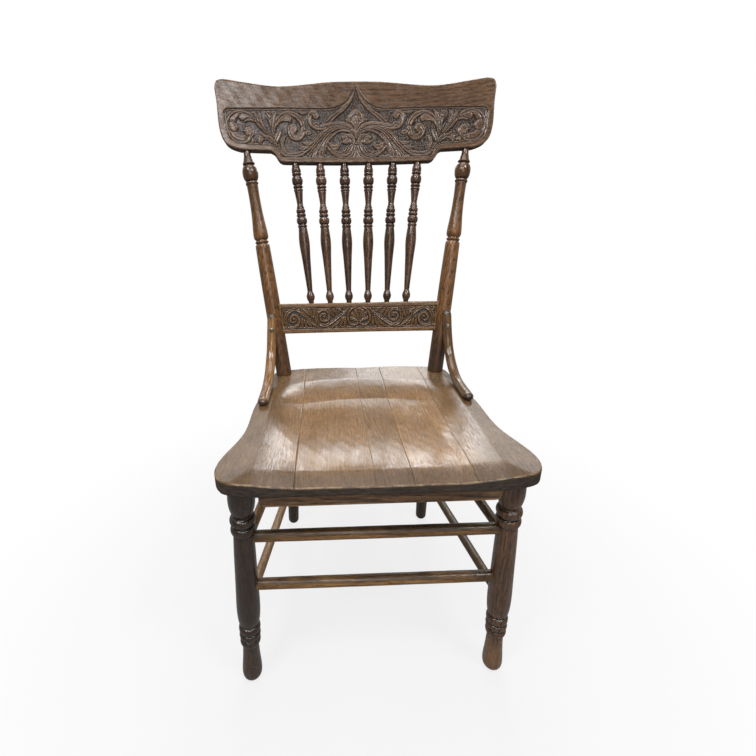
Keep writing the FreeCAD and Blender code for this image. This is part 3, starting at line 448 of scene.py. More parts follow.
RAIL_ORNAMENT = [
    ("bead", 2, [(1, 139.5, 1.6), (10, 137.5, 1.9), (19.5, 130.5, 2.1), (23.5, 119.5, 2.2), (22, 108.5, 2.2),
                 (15, 101.5, 2.1), (7, 100.5, 2), (2.5, 105, 1.8), (4.5, 109, 1.4)]),
    ("leaf", 1.9, [(0.5, 109, 1.2), (1, 121.5, 3.4), (1, 133.5, 3.6)]),
    ("leaf", 1.9, [(0.5, 109, 1.1), (4.5, 121, 3), (8, 131, 3.2)]),
    ("leaf", 1.8, [(1.5, 109, 1), (8.5, 117.5, 2.8), (14.5, 124.5, 3)]),
    ("leaf", 1.7, [(2.5, 108.5, 1), (9.5, 112, 2.4), (17, 115.5, 2.6)]),
    ("band", 2.2, [(23.5, 134.5, 1.4), (37, 123.5, 2.4), (52, 112, 2.8), (64, 104, 3), (75, 100.5, 3),
                   (84.5, 105, 2.9), (90.5, 115, 2.8), (89.5, 125.5, 2.7), (82.5, 132.5, 2.6), (73, 134, 2.5),
                   (65.5, 129, 2.4), (63.5, 120, 2.3), (66.5, 112.5, 2.2), (74.5, 110, 2.1), (81, 113.5, 1.9),
                   (82.5, 120.5, 1.8), (78.5, 125, 1.6), (72.5, 125, 1.4)]),
    ("vein", 0.8, [(27, 132, 0.6), (37, 123.5, 0.9), (52, 112, 0.9), (64, 104, 0.9), (75, 100.5, 0.9),
                   (84.5, 105, 0.9), (90.5, 115, 0.9), (89.5, 125.5, 0.9), (82.5, 132.5, 0.8),
                   (73, 134, 0.6)]),
    ("dome", 2, [(73.5, 119, 2.4)]),
    ("band", 2.2, [(85.5, 97, 0.9), (93.5, 102, 1.8), (105.5, 113, 2.5), (117, 125, 2.8), (128.5, 133.5, 3),
                   (138, 135.5, 3), (148.5, 130.5, 3), (155.5, 119, 2.9), (154.5, 106.5, 2.8),
                   (146, 98.5, 2.7), (135.5, 99.5, 2.5), (128, 106.5, 2.3), (127.5, 116.5, 2.2),
                   (132.5, 122.5, 2.1), (140, 123.5, 1.9), (145, 117, 1.8), (143, 110, 1.6),
                   (138, 108.5, 1.5), (133.5, 113, 1.2)]),
    ("vein", 0.8, [(96, 104, 0.6), (105.5, 113, 0.9), (117, 125, 0.9), (128.5, 133.5, 0.9), (138, 135.5, 0.9),
                   (148.5, 130.5, 0.9), (155.5, 119, 0.9), (154.5, 106.5, 0.8), (146, 98.5, 0.6)]),
    ("dome", 1.9, [(138, 116, 2.2)]),
    ("leaf", 1.8, [(98.5, 117.5, 0.8), (107.5, 127.5, 2.6), (117, 134.5, 1.8)]),
    ("leaf", 1.8, [(98, 118, 0.8), (102, 128, 2.6), (106, 136.5, 1.8)]),
    ("leaf", 1.8, [(97, 118, 0.8), (95.5, 127.5, 2.4), (93, 135.5, 1.8)]),
    ("leaf", 1.9, [(51.5, 117, 0.8), (58.5, 127.5, 2.6), (66.5, 137, 1.4)]),
    ("leaf", 1.9, [(45, 122, 0.8), (51, 130, 2.5), (59, 138, 1.4)]),
    ("leaf", 1.8, [(36, 129.5, 0.8), (41.5, 134.5, 2.2), (49.5, 138, 1.2)]),
    ("leaf", 1.9, [(31.5, 121.5, 0.8), (43.5, 108.5, 2.6), (56.5, 97.5, 1.8)]),
    ("leaf", 1.9, [(31.5, 118, 0.8), (37.5, 106.5, 2.7), (43, 96, 1.9)]),
    ("leaf", 1.9, [(29, 116.5, 0.8), (29.5, 106, 2.6), (30, 96.5, 1.9)]),
    ("leaf", 1.8, [(121, 117.5, 0.8), (120.5, 108.5, 2.3), (120.5, 99, 1.6)]),
    ("leaf", 1.8, [(112, 111.5, 0.8), (107, 106, 2.2), (101, 100, 1.2)]),
    ("leaf", 1.7, [(116.5, 114.5, 0.8), (114, 106.5, 2.1), (111, 98, 1.4)]),
    ("leaf", 1.6, [(154, 129.5, 1), (157.5, 134, 2.2), (160, 138, 1.2)]),
    ("leaf", 1.6, [(153.5, 100, 1), (157.5, 98.5, 2.2), (162.5, 97, 1.2)]),
]

STROKE_SPREAD = 1.18
PAN_SLOPE, BEAD_IN, BEAD_HALF, BEAD_TALL = 2.0, 3.3, 1.3, 0.95
RAIL_ARRIS, ARRIS_STEPS = 2.4, (0.0, 0.4, 0.9, 1.5, 2.2, 3.1)


def section(kind, t):
    """Cross-section of a pressed stroke, from its middle at 0 to its edge at 1."""
    plate = np.clip(1.0 - t ** 5, 0.0, 1.0) ** 0.6
    if kind == "double":
        return plate * (1.0 - 0.45 * np.exp(-(t / 0.22) ** 2))
    if kind == "band":
        return plate * (0.84 + 0.16 * np.exp(-((t - 0.72) / 0.2) ** 2))
    if kind == "leaf":
        return plate * (1.0 - 0.42 * np.exp(-(t / 0.2) ** 2))
    if kind == "flat":
        return plate
    if kind == "dome":
        return np.clip(1.0 - t ** 3, 0.0, 1.0) ** 0.7
    return np.sqrt(np.clip(1.0 - t * t, 0.0, 1.0))


def pressed(x, rise, strokes):
    """Height of the ornament above its ground; each stroke is cut clear of those below it, veins last."""
    x = np.abs(x)
    height, veins = np.zeros(x.shape), np.zeros(x.shape)
    for kind, tall, points in strokes:
        line = flowing(points, 0.5) if len(points) > 1 else np.array(points, float)
        wide = STROKE_SPREAD * np.maximum(line[:, 2], 0.3)
        most = wide.max() + 2.0
        near = ((x > line[:, 0].min() - most) & (x < line[:, 0].max() + most)
                & (rise > line[:, 1].min() - most) & (rise < line[:, 1].max() + most))
        spots = np.column_stack([x[near], rise[near]])
        share, clear = np.empty(len(spots)), np.empty(len(spots))
        for k in range(0, len(spots), CHUNK):
            part = spots[k:k + CHUNK]
            gap = np.hypot(part[:, None, 0] - line[None, :, 0], part[:, None, 1] - line[None, :, 1])
            share[k:k + CHUNK] = (gap / wide).min(1)
            clear[k:k + CHUNK] = (gap - wide).min(1)
        lift = np.where(share < 1.0, tall * section(kind, np.minimum(share, 1.0)), 0.0)
        if kind == "vein":
            veins[near] = np.maximum(veins[near], lift)
        else:
            cut = 1.0 - 0.6 * np.exp(-((clear - 0.3) / 0.8) ** 2)
            height[near] = np.maximum(height[near] * cut, lift)
    return np.maximum(height - veins, 0.0)


def softened(field, reach):
    """Box average over a grid, for telling hollows from tops."""
    for axis in (0, 1):
        field = sum(np.roll(field, s, axis) for s in range(-reach, reach + 1)) / (2 * reach + 1)
    return field


def pressed_board(name, low, high, right, u, v, sunk, strokes, depth, bend_r, flat_half, thickness):
    """A bent, raked rail whose front face carries a sunk panel with pressed ornament."""
    left = right * [-1, 1]
    grid = patch(low, high, left, right, u, v)
    x, rise = grid[..., 0], grid[..., 1]
    line = np.vstack([along(c, np.linspace(0, 1, 900)) for c in (low, high, left, right)])
    d = distance(grid, line)
    inset = sunk(x, rise, d)
    pan = smooth(inset / PAN_SLOPE)
    ornament = pressed(x, rise, strokes) * smooth((inset - 0.6) / 1.2)
    bead = BEAD_TALL * np.sqrt(np.clip(1.0 - ((inset - BEAD_IN) / BEAD_HALF) ** 2, 0.0, 1.0))
    carved = np.maximum(ornament, bead)
    face_h = -depth * pan + carved
    chord = math.sqrt(bend_r ** 2 - flat_half ** 2)
    front_y = np.sqrt((bend_r - 0.5 * thickness) ** 2 - x ** 2) - chord
    back_y = np.sqrt((bend_r + 0.5 * thickness) ** 2 - x ** 2) - chord
    face = lean(x, front_y - face_h + eased(d, RAIL_ARRIS) + 0.1 * ripple(x, rise, 4.0), rise)
    back = lean(x, back_y, rise)
    loop = edge_loop(np.arange(x.size).reshape(x.shape))
    lx, lr = x.ravel()[loop], rise.ravel()[loop]
    fy, by = front_y.ravel()[loop] + RAIL_ARRIS, back_y.ravel()[loop] - 1.6
    rings = [lean(lx, fy + (by - fy) * s, lr) for s in (0.25, 0.6, 1.0)]
    rings.append(lean(lx, by + 0.8, lr))
    level = softened(face_h, 2)
    # hollow marks the dark rims round the strokes, for grime and painted shade; lip marks stroke tops,
    # lightened for wear and painted highlight.
    marks = {"hollow": np.clip((level - face_h) / 0.34, 0.0, 1.0),
             "lip": np.clip((face_h - level - 0.18) / 0.5, 0.0, 1.0),
             "ground": pan * (1.0 - smooth(carved / 0.7)),
             "edge": np.clip(1.0 - d / 6.0, 0.0, 1.0), "wall": np.zeros(x.shape)}
    return slab(name, face, rings, back, 3, 4, marks)


def crest_rail():
    """Crest rail: humped top, ears, rounded lower corners, ogee steps down to the belly."""
    ear_in, ear_turn, ear_out = (258.0, 582.5), (272.0, 577.5), (CREST_HALF, 564.5)
    low_corner = (259.5, 464.5)
    top = [(0.0, 587.5), (53.5, 586.1), (108.5, 579.9), (162.0, 575.5), (210.0, 578.65), ear_in]
    top = flowing([(-x, w) for x, w in top[:0:-1]] + top)
    ear = flowing([ear_in, ear_turn, ear_out], 0.5)
    side = flowing([ear_out, (273.0, 536.25), (270.0, 490.0), low_corner, (234.0, CREST_BOTTOM)], 0.5)
    ogee = flowing([(175.0, CREST_BOTTOM), (168.25, 450.8), (162.5, 443.25), (156.25, 435.1),
                    (150.0, CREST_BELLY)], 0.5)
    turn, corner = nearest(ear, ear_turn), nearest(side, low_corner)
    half_low = np.vstack([side[corner:], ogee, [[0.0, CREST_BELLY]]])
    low = np.vstack([half_low * [-1, 1], half_low[-2::-1]])
    right = np.vstack([ear[turn:], side[1:corner + 1]])[::-1]
    high_half = ear[turn:0:-1]
    high = np.vstack([high_half * [-1, 1], top, high_half[::-1]])
    panel_top = flowing([(0.0, 583.0), (5.2, 571.2), (11.9, 560.4), (21.6, 550.0), (35.4, 541.9),
                         (52.7, 537.6), (75.0, 536.6), (130.0, 536.4), (190.0, 534.0),
                         (250.0, 530.5), (280.0, 528.5)], 0.5)
    slope = np.gradient(panel_top[:, 1], panel_top[:, 0])

    def sunk(x, rise, d):
        """How far inside the panel's edge a spot lies; its outer corners are rounded."""
        limit = np.interp(np.abs(x), panel_top[:, 0], panel_top[:, 1])
        tilt = np.sqrt(1.0 + np.interp(np.abs(x), panel_top[:, 0], slope) ** 2)
        below = (limit - rise) / tilt
        side_in = d - (8.6 + 2.4 * smooth((np.abs(x) - 200.0) / 50.0))
        corner_r = np.where(np.abs(x) > 150.0, 11.0, 0.01)
        inner = np.maximum(np.minimum(below, side_in) - corner_r, 0.0)
        outer = np.hypot(np.maximum(corner_r - below, 0.0), np.maximum(corner_r - side_in, 0.0))
        return inner + corner_r - outer

    # Rows lie closer in the panel than in the plain hump above it.
    tall, panel_share = top[:, 1].max() - CREST_BELLY, 0.74
    first, ends = ARRIS_STEPS[-1] / tall, np.array(ARRIS_STEPS[:-1]) / tall
    v = np.concatenate([ends, np.linspace(first, panel_share, 118),
                        np.linspace(panel_share, 1.0 - first, 19)[1:], 1.0 - ends[::-1]])
    u = spaced(max(span(low), span(high)), 1.08, ARRIS_STEPS)
    return pressed_board("crest_rail_pressed", low, high, right, u, v, sunk, CREST_ORNAMENT, CREST_SUNK,
                         CREST_BEND, POST_TOP_HALF, CREST_THICKNESS)


def lower_rail():
    """Lower back rail, let into the posts at both ends."""
    low_end, high_end = between_posts(RAIL_LOW) + RAIL_LET_IN, between_posts(RAIL_HIGH) + RAIL_LET_IN
    low = np.array([(-low_end, RAIL_LOW), (low_end, RAIL_LOW)])
    high = np.array([(-high_end, RAIL_HIGH), (high_end, RAIL_HIGH)])
    right = np.array([low[1], high[1]])

    def sunk(x, rise, d):
        """How far inside the panel's edge a spot lies."""
        upright = np.minimum(RAIL_HIGH - 8.4 - rise, rise - RAIL_LOW - 7.6)
        return np.minimum(upright, RAIL_HALF + 2.0 - np.abs(x))

    u, v = spaced(span(high), 0.72, ARRIS_STEPS), spaced(span(right), 0.72, ARRIS_STEPS)
    return pressed_board("lower_back_rail_pressed", low, high, right, u, v, sunk, RAIL_ORNAMENT, RAIL_SUNK,
                         RAIL_BEND, RAIL_HALF, RAIL_THICKNESS)


# Braces: oval rods swept along the seat, round one bend and up the post

BRACE_END = (188.0, 28.0)
BRACE_WIDTH, BRACE_DEPTH, BRACE_BEND, BRACE_LEAN = 19.4, 15.0, 105.0, math.radians(3.0)
BRACE_RISE, BRACE_LET_IN, BRACE_SIDES, BRACE_TIP = 129.0, 5.0, 36, 11.0
UP_POST = np.array([0.0, math.sin(RAKE), math.cos(RAKE)])
OFF_POST = np.array([0.0, -math.cos(RAKE), math.sin(RAKE)])
BRACE_Z = float(seat_top(*BRACE_END)) + 0.5 * BRACE_DEPTH - 1.0


def brace_place(points, hand):
    """From the brace's own upright plane to the chair; hand is 1 for the right side, -1 for the left."""
    points = np.asarray(points, float)
    up = points[..., 2] - BRACE_Z
    x = BRACE_END[0] + points[..., 0] * math.cos(BRACE_LEAN) - up * math.sin(BRACE_LEAN)
    z = BRACE_Z + up * math.cos(BRACE_LEAN) + points[..., 0] * math.sin(BRACE_LEAN)
    return np.stack([hand * x, points[..., 1], z], -1)


def brace_path():
    """Middle line of a brace in its own plane, and its upper end."""
    front = np.array([0.0, BACK_FOOT_Y, BACK_FOOT_Z]) + OFF_POST * (POST_R - BRACE_LET_IN + 0.5 * BRACE_DEPTH)
    corner = front - UP_POST * ((front[2] - BRACE_Z) / UP_POST[2])
    turn = 0.5 * math.pi - RAKE
    tangent = BRACE_BEND * math.tan(0.5 * turn)
    start, first = np.array([0.0, BRACE_END[1], BRACE_Z]), corner - [0.0, tangent, 0.0]
    centre = first + [0.0, 0.0, BRACE_BEND]
    arc = [centre + [0.0, math.sin(s) * BRACE_BEND, -math.cos(s) * BRACE_BEND]
           for s in np.linspace(0, turn, 40)]
    top = front + UP_POST * BRACE_RISE
    return along(np.vstack([[start], arc, [top]]), np.linspace(0, 1, 150)), top


def brace(hand, name):
    """One brace with rounded ends; its grain mark runs along the bent rod."""
    path, _ = brace_path()
    ahead = np.gradient(path, axis=0)
    ahead /= np.linalg.norm(ahead, axis=1, keepdims=True)
    run = lengths(path)
    turn = np.linspace(0, 2 * math.pi, BRACE_SIDES, endpoint=False)
    wide, deep = np.cos(turn) * 0.5 * BRACE_WIDTH, np.sin(turn) * 0.5 * BRACE_DEPTH
    ends = BRACE_TIP * (1.0 - np.cos(np.linspace(0, 0.5 * math.pi, 9)[1:]))
    middle = np.linspace(BRACE_TIP, run[-1] - BRACE_TIP, 140)[1:-1]
    stations = np.concatenate([ends, middle, run[-1] - ends[::-1]])
    verts, grain, rows = [], [], []
    for s in stations:
        centre = np.array([np.interp(s, run, path[:, k]) for k in range(3)])
        out = np.array([np.interp(s, run, ahead[:, k]) for k in range(3)])
        up = np.cross([1.0, 0.0, 0.0], out)
        near = min(s, run[-1] - s)
        full = 1.0
        if near < BRACE_TIP:
            full = 0.12 + 0.88 * math.sqrt(max(0.0, 1.0 - (1.0 - near / BRACE_TIP) ** 2))
        wear = 1.0 + 0.012 * math.sin(0.11 * s + hand)
        ring = centre + np.outer(wide * full * wear, [1.0, 0.0, 0.0]) + np.outer(deep * full, up)
        rows.append(np.arange(len(verts), len(verts) + BRACE_SIDES))
        verts += list(ring)
        grain += [(s * MM, w * MM + 0.1 * hand, d * MM) for w, d in zip(wide, deep)]
    faces = []
    for a, b in zip(rows[:-1], rows[1:]):
        faces += as_faces(a, np.roll(a, -1), np.roll(b, -1), b)
    faces += [tuple(rows[0].tolist()), tuple(rows[-1].tolist())]
    tip = np.repeat(np.clip(1.0 - np.minimum(stations, run[-1] - stations) / 16.0, 0.0, 1.0), BRACE_SIDES)
    return finish_mesh(name, brace_place(verts, hand), faces, {"grain": np.array(grain), "tip": tip})


# Node trees

NUMBER, WHOLE, COLOUR, VECTOR = "NodeSocketFloat", "NodeSocketInt", "NodeSocketColor", "NodeSocketVector"
GEOMETRY, FINISH = "NodeSocketGeometry", "NodeSocketMaterial"


def new_tree(name, kind, inputs, outputs):
    """A node tree with its inputs, some of them with a value, and its outputs."""
    tree = bpy.data.node_groups.new(name, kind)
    for label, socket, value in inputs:
        made = tree.interface.new_socket(label, in_out="INPUT", socket_type=socket)
        if value is not None:
            made.default_value = value
    for label, socket in outputs:
        tree.interface.new_socket(label, in_out="OUTPUT", socket_type=socket)
    return tree, tree.nodes.new("NodeGroupInput").outputs, tree.nodes.new("NodeGroupOutput")


def wire(tree, node, inputs):
    """Links or sets a node's inputs."""
    for key, value in inputs.items():
        if isinstance(value, bpy.types.NodeSocket):
            tree.links.new(value, node.inputs[key])
        else:
            node.inputs[key].default_value = value


def put(tree, kind, inputs=None, **settings):
    """Adds a node, sets it up, and wires or sets its inputs."""
    made = tree.nodes.new(kind)
    for key, value in settings.items():
        setattr(made, key, value)
    wire(tree, made, inputs or {})
    return made


def calc(tree, operation, a, b=0.0, clamp=False):
    """Arithmetic on numbers."""
    return put(tree, "ShaderNodeMath", {0: a, 1: b}, operation=operation, use_clamp=clamp).outputs[0]


def times(tree, a, b, clamp=False):
    return calc(tree, "MULTIPLY", a, b, clamp)


def plus(tree, a, b, clamp=False):
    return calc(tree, "ADD", a, b, clamp)


def vector_calc(tree, operation, a, b):
    """Arithmetic on vectors."""
    return put(tree, "ShaderNodeVectorMath", {0: a, 1: b}, operation=operation).outputs[0]


def vector(tree, **parts):
    """A vector from its parts."""
    return put(tree, "ShaderNodeCombineXYZ", parts).outputs[0]


def parts_of(tree, whole):
    """The parts of a vector."""
    return put(tree, "ShaderNodeSeparateXYZ", {"Vector": whole}).outputs


# Geometry node trees: a lathe that turns an axis into a round piece, and a setter of slotted screws

def own(tree, label, kind):
    """What a point says of itself."""
    return put(tree, "GeometryNodeInputNamedAttribute", {"Name": label}, data_type=kind).outputs["Attribute"]


def swept(tree, curve, girth, sides):
    """A round skin along a curve, with closed ends."""
    ring = put(tree, "GeometryNodeCurvePrimitiveCircle", {"Resolution": sides, "Radius": 1.0})
    return put(tree, "GeometryNodeCurveToMesh", {
        "Curve": curve, "Profile Curve": ring.outputs[0], "Scale": girth, "Fill Caps": True}).outputs[0]


def ended(tree, given, out, skin):
    """Ends a tree with its skin in the given finish."""
    coated = put(tree, "GeometryNodeSetMaterial", {"Geometry": skin, "Material": given["Finish"]})
    wire(tree, out, {0: coated.outputs[0]})
    return tree


def lathe_tree():
    """Turns a run of points with a girth at each into a smooth round piece with closed ends."""
    tree, given, out = new_tree("lathe", "GeometryNodeTree", [
        ("Axis", GEOMETRY, None), ("Sides", WHOLE, 48), ("Finish", FINISH, None),
    ], [("Geometry", GEOMETRY)])
    axis = put(tree, "GeometryNodeMeshToCurve", {"Mesh": given["Axis"]})
    skin = swept(tree, axis.outputs[0], own(tree, "girth", "FLOAT"), given["Sides"])
    real = put(tree, "GeometryNodeRealizeInstances", {"Geometry": skin})
    shaded = put(tree, "GeometryNodeSetShadeSmooth", {"Geometry": real.outputs[0], "Shade Smooth": True})
    return ended(tree, given, out, shaded.outputs[0])


def screw_tree():
    """Sets a slotted round-head screw at each point, aimed and turned as the point says."""
    tree, given, out = new_tree("slotted_screws", "GeometryNodeTree", [
        ("Places", GEOMETRY, None), ("Head radius", NUMBER, 0.0054), ("Head height", NUMBER, 0.0030),
        ("Slot width", NUMBER, 0.0013), ("Slot depth", NUMBER, 0.0014), ("Shank radius", NUMBER, 0.0021),
        ("Shank length", NUMBER, 0.024), ("Finish", FINISH, None),
    ], [("Geometry", GEOMETRY)])
    tip = vector(tree, Z=given["Head height"])
    stem = put(tree, "GeometryNodeCurvePrimitiveLine", {"End": tip})
    fine = put(tree, "GeometryNodeResampleCurve", {"Curve": stem.outputs[0], "Count": 16})
    share = put(tree, "GeometryNodeSplineParameter").outputs["Factor"]
    dome = calc(tree, "SQRT", calc(tree, "SUBTRACT", 1.0, times(tree, calc(tree, "POWER", share, 2.4), 0.93)))
    head = swept(tree, fine.outputs[0], times(tree, dome, given["Head radius"]), 40)
    blade_size = vector(tree, X=0.02, Y=given["Slot width"], Z=times(tree, given["Slot depth"], 2.0))
    blade = put(tree, "GeometryNodeMeshCube", {"Size": blade_size})
    lifted = put(tree, "GeometryNodeTransform", {"Geometry": blade.outputs[0], "Translation": tip})
    slotted = put(tree, "GeometryNodeMeshBoolean", {"Mesh 1": head, "Mesh 2": lifted.outputs[0]},
                  operation="DIFFERENCE", solver="EXACT")
    shank = put(tree, "GeometryNodeMeshCylinder", {"Vertices": 20, "Radius": given["Shank radius"],
                                                   "Depth": given["Shank length"]})
    down = vector(tree, Z=times(tree, given["Shank length"], -0.5))
    lowered = put(tree, "GeometryNodeTransform", {"Geometry": shank.outputs[0], "Translation": down})
    whole = put(tree, "GeometryNodeJoinGeometry")
    for part in (lowered, slotted):
        tree.links.new(part.outputs[0], whole.inputs[0])
    aim = own(tree, "aim", "FLOAT_VECTOR")
    facing = put(tree, "FunctionNodeAlignRotationToVector", {"Vector": aim}, axis="Z")
    spun = put(tree, "FunctionNodeEulerToRotation", {"Euler": vector(tree, Z=own(tree, "turn", "FLOAT"))})
    both = put(tree, "FunctionNodeRotateRotation", {
        "Rotation": facing.outputs[0], "Rotate By": spun.outputs[0]}, rotation_space="LOCAL")
    set_in = put(tree, "GeometryNodeInstanceOnPoints", {
        "Points": given["Places"], "Instance": whole.outputs[0], "Rotation": both.outputs[0]})
    real = put(tree, "GeometryNodeRealizeInstances", {"Geometry": set_in.outputs[0]})
    angle = put(tree, "GeometryNodeInputMeshEdgeAngle")
    crisp = put(tree, "FunctionNodeCompare", {"A": angle.outputs[0], "B": 0.6}, data_type="FLOAT",
                operation="GREATER_THAN")
    smoothed = put(tree, "GeometryNodeSetShadeSmooth", {"Geometry": real.outputs[0], "Shade Smooth": True},
                   domain="FACE")
    sharp = put(tree, "GeometryNodeSetShadeSmooth", {
        "Geometry": smoothed.outputs[0], "Selection": crisp.outputs[0], "Shade Smooth": False}, domain="EDGE")
    return ended(tree, given, out, sharp.outputs[0])


def grown(name, base, tree, values):
    """Runs a tree on a base mesh and keeps the result as a plain mesh object."""
    thing = add_object(name, base)
    grow = thing.modifiers.new("grow", "NODES")
    grow.node_group = tree
    for item in tree.interface.items_tree:
        if item.item_type == "SOCKET" and item.in_out == "INPUT" and item.name in values:
            grow[item.identifier] = values[item.name]
    ready = thing.evaluated_get(bpy.context.evaluated_depsgraph_get())
    plain = bpy.data.meshes.new_from_object(ready)
    thing.modifiers.remove(grow)
    thing.data = plain
    plain.name = name
    for key in ("girth", "aim", "turn"):
        if key in plain.attributes:
            plain.attributes.remove(plain.attributes[key])
    return thing


def fit(piece, node):
    """Rides a new piece on the chair and lets it stand for its node."""
    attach(piece, "root")
    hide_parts(node)


LATHE = lathe_tree()


def turned(node, ends, profile, sides, finish):
    """One turned piece between two points; profile gives stations and radii for a length."""
    name, (foot, head) = "turned_" + node, ends
    length = float(np.linalg.norm(head - foot))
    girth = profile(length)
    points = place(foot + np.outer(girth[:, 0] / length, head - foot))
    base = bpy.data.meshes.new(name + "_axis")
    base.from_pydata([tuple(p) for p in points], [(i, i + 1) for i in range(len(points) - 1)], [])
    set_marks(base, {"girth": girth[:, 1] * MM})
    fit(grown(name, base, LATHE, {"Sides": sides, "Finish": finish}), node)


# Spindles

BEAD_R, NECK_R, VASE_R, GROOVE = 8.6, 5.4, 10.9, 1.0
FOOT_TOP, WAIST_TALL, CUP_TALL = 25.0, 34.0, 17.0
LOW_BEADS = ((6.5, 1.0), (14.0, 2.3), (6.5, 1.0), (8.0, 0.9))
HIGH_BEADS = ((5.5, 0.9), (6.0, 1.3), (17.0, 2.6), (6.0, 1.0))


def bead_row(start, sizes):
    """Turned beads one above the other, each a height and a swell, with a narrow groove after each."""
    points, at = [], start
    for tall, swell in sizes:
        for s in np.linspace(0, math.pi, 13):
            points.append((at + 0.5 * tall * (1.0 - math.cos(s)), BEAD_R - 1.0 + (swell + 1.0) * math.sin(s)))
        at += tall + GROOVE
        points.append((at - 0.5 * GROOVE, BEAD_R - 1.5))
    return points


def spindle_girth(length):
    """A spindle from its foot on the rail to its head under the crest."""
    def tall(sizes):
        return sum(size[0] + GROOVE for size in sizes)
    cap = length - CUP_TALL
    high = cap - tall(HIGH_BEADS)
    waist = high - WAIST_TALL
    low = waist - tall(LOW_BEADS)
    run, swell = low - FOOT_TOP, VASE_R - NECK_R
    foot = flowing([(4.0, NECK_R), (8.6, 7.65), (13.5, 8.6), (18.3, 7.8), (FOOT_TOP, NECK_R)], 0.7)
    body = flowing([(FOOT_TOP, NECK_R), (FOOT_TOP + 0.16 * run, NECK_R + 0.18 * swell),
                    (FOOT_TOP + 0.38 * run, NECK_R + 0.45 * swell),
                    (FOOT_TOP + 0.60 * run, NECK_R + 0.76 * swell), (FOOT_TOP + 0.79 * run, VASE_R),
                    (FOOT_TOP + 0.89 * run, NECK_R + 0.86 * swell), (low, BEAD_R)], 1.6)
    middle = flowing([(waist, BEAD_R), (waist + 6.0, 6.5), (waist + 15.3, 6.5), (high, BEAD_R)], 1.5)
    cup = flowing([(cap, 9.3), (cap + 6.0, 9.2), (cap + 10.0, 8.1), (length, 6.9)], 1.0)
    rows = [(-9.0, 3.6), (-0.1, 3.6), (0.0, NECK_R)] + foot.tolist() + body[1:].tolist()
    rows += bead_row(low, LOW_BEADS) + middle[1:].tolist() + bead_row(high, HIGH_BEADS) + cup.tolist()
    return np.array(rows + [(length + 0.1, 5.0), (length + 9.0, 5.0)])


def spindle_ends(k):
    """Where a spindle stands on the lower rail and where it meets the crest."""
    where = 2.0 * k / (SPINDLES - 1) - 1.0
    low_x, high_x = where * SPINDLE_FOOT_SHARE * RAIL_HALF, where * SPINDLE_HEAD_SHARE * CREST_HALF
    return (lean(low_x, bend(RAIL_BEND, RAIL_HALF, low_x), RAIL_HIGH),
            lean(high_x, bend(CREST_BEND, POST_TOP_HALF, high_x), CREST_BELLY))


# Legs and posts

FRONT_AXIS = np.array([[215.0, -143.5, 0.0], [197.0, -152.0, SEAT_BOTTOM]])
BACK_AXIS = np.array([[168.8, 245.9, 0.0], [146.0, 150.0, SEAT_BOTTOM]])


def ring_rows(start, sizes, groove):
    """Turned rings with grooves around them, from the low end up: height, waist radius and swell of each."""
    rows, at = [], start
    for tall, waist, swell in sizes:
        rows.append((at, waist - 0.3))
        at += groove
        for s in np.linspace(0, math.pi, 15):
            rows.append((at + 0.5 * tall * (1.0 - math.cos(s)), waist + swell * math.sin(s)))
        at += tall
    rows.append((at + 0.5 * groove, sizes[-1][1] - 0.3))
    return rows, at + groove


def from_station(start, rows):
    """Stations told from a start."""
    return [(start + rise, radius) for rise, radius in rows]


def leg_girth(length):
    """A front leg: rounded foot, three rings, long shaft, two rings and the vase under the seat."""
    foot = flowing([(0.6, 8.0), (2.2, 12.0), (5.5, 14.9), (10.0, 16.4), (17.0, 16.9), (34.0, 16.1),
                    (58.0, 14.4), (83.0, 13.3)], 1.2)
    low, shaft_low = ring_rows(84.0, ((13.5, 13.5, 3.6), (12.0, 13.6, 4.0), (14.5, 13.8, 4.0)), 2.0)
    vase_low = length - 63.5
    high, shaft_top = ring_rows(vase_low - 37.0, ((15.0, 14.5, 4.4), (14.5, 14.5, 4.8)), 2.5)
    swell = from_station(shaft_low, [(0.0, 14.2), (4.0, 16.2), (12.0, 17.8), (30.0, 18.9), (70.0, 18.4)])
    shaft = flowing(swell + [(0.5 * (shaft_low + vase_low - 37.0) + 30.0, 17.2), (vase_low - 60.0, 16.2),
                             (vase_low - 39.0, 15.4)], 2.5)
    bulb = from_station(shaft_top, [(0.0, 14.0), (3.0, 15.6), (11.0, 18.2), (25.0, 19.9), (40.0, 19.6)])
    vase = flowing(bulb + [(length + 0.3, 17.4)], 1.5)
    rows = foot.tolist() + low + shaft.tolist() + high + vase.tolist()
    return np.array(rows + [(length + 0.4, 11.0), (length + 14.0, 11.0)])


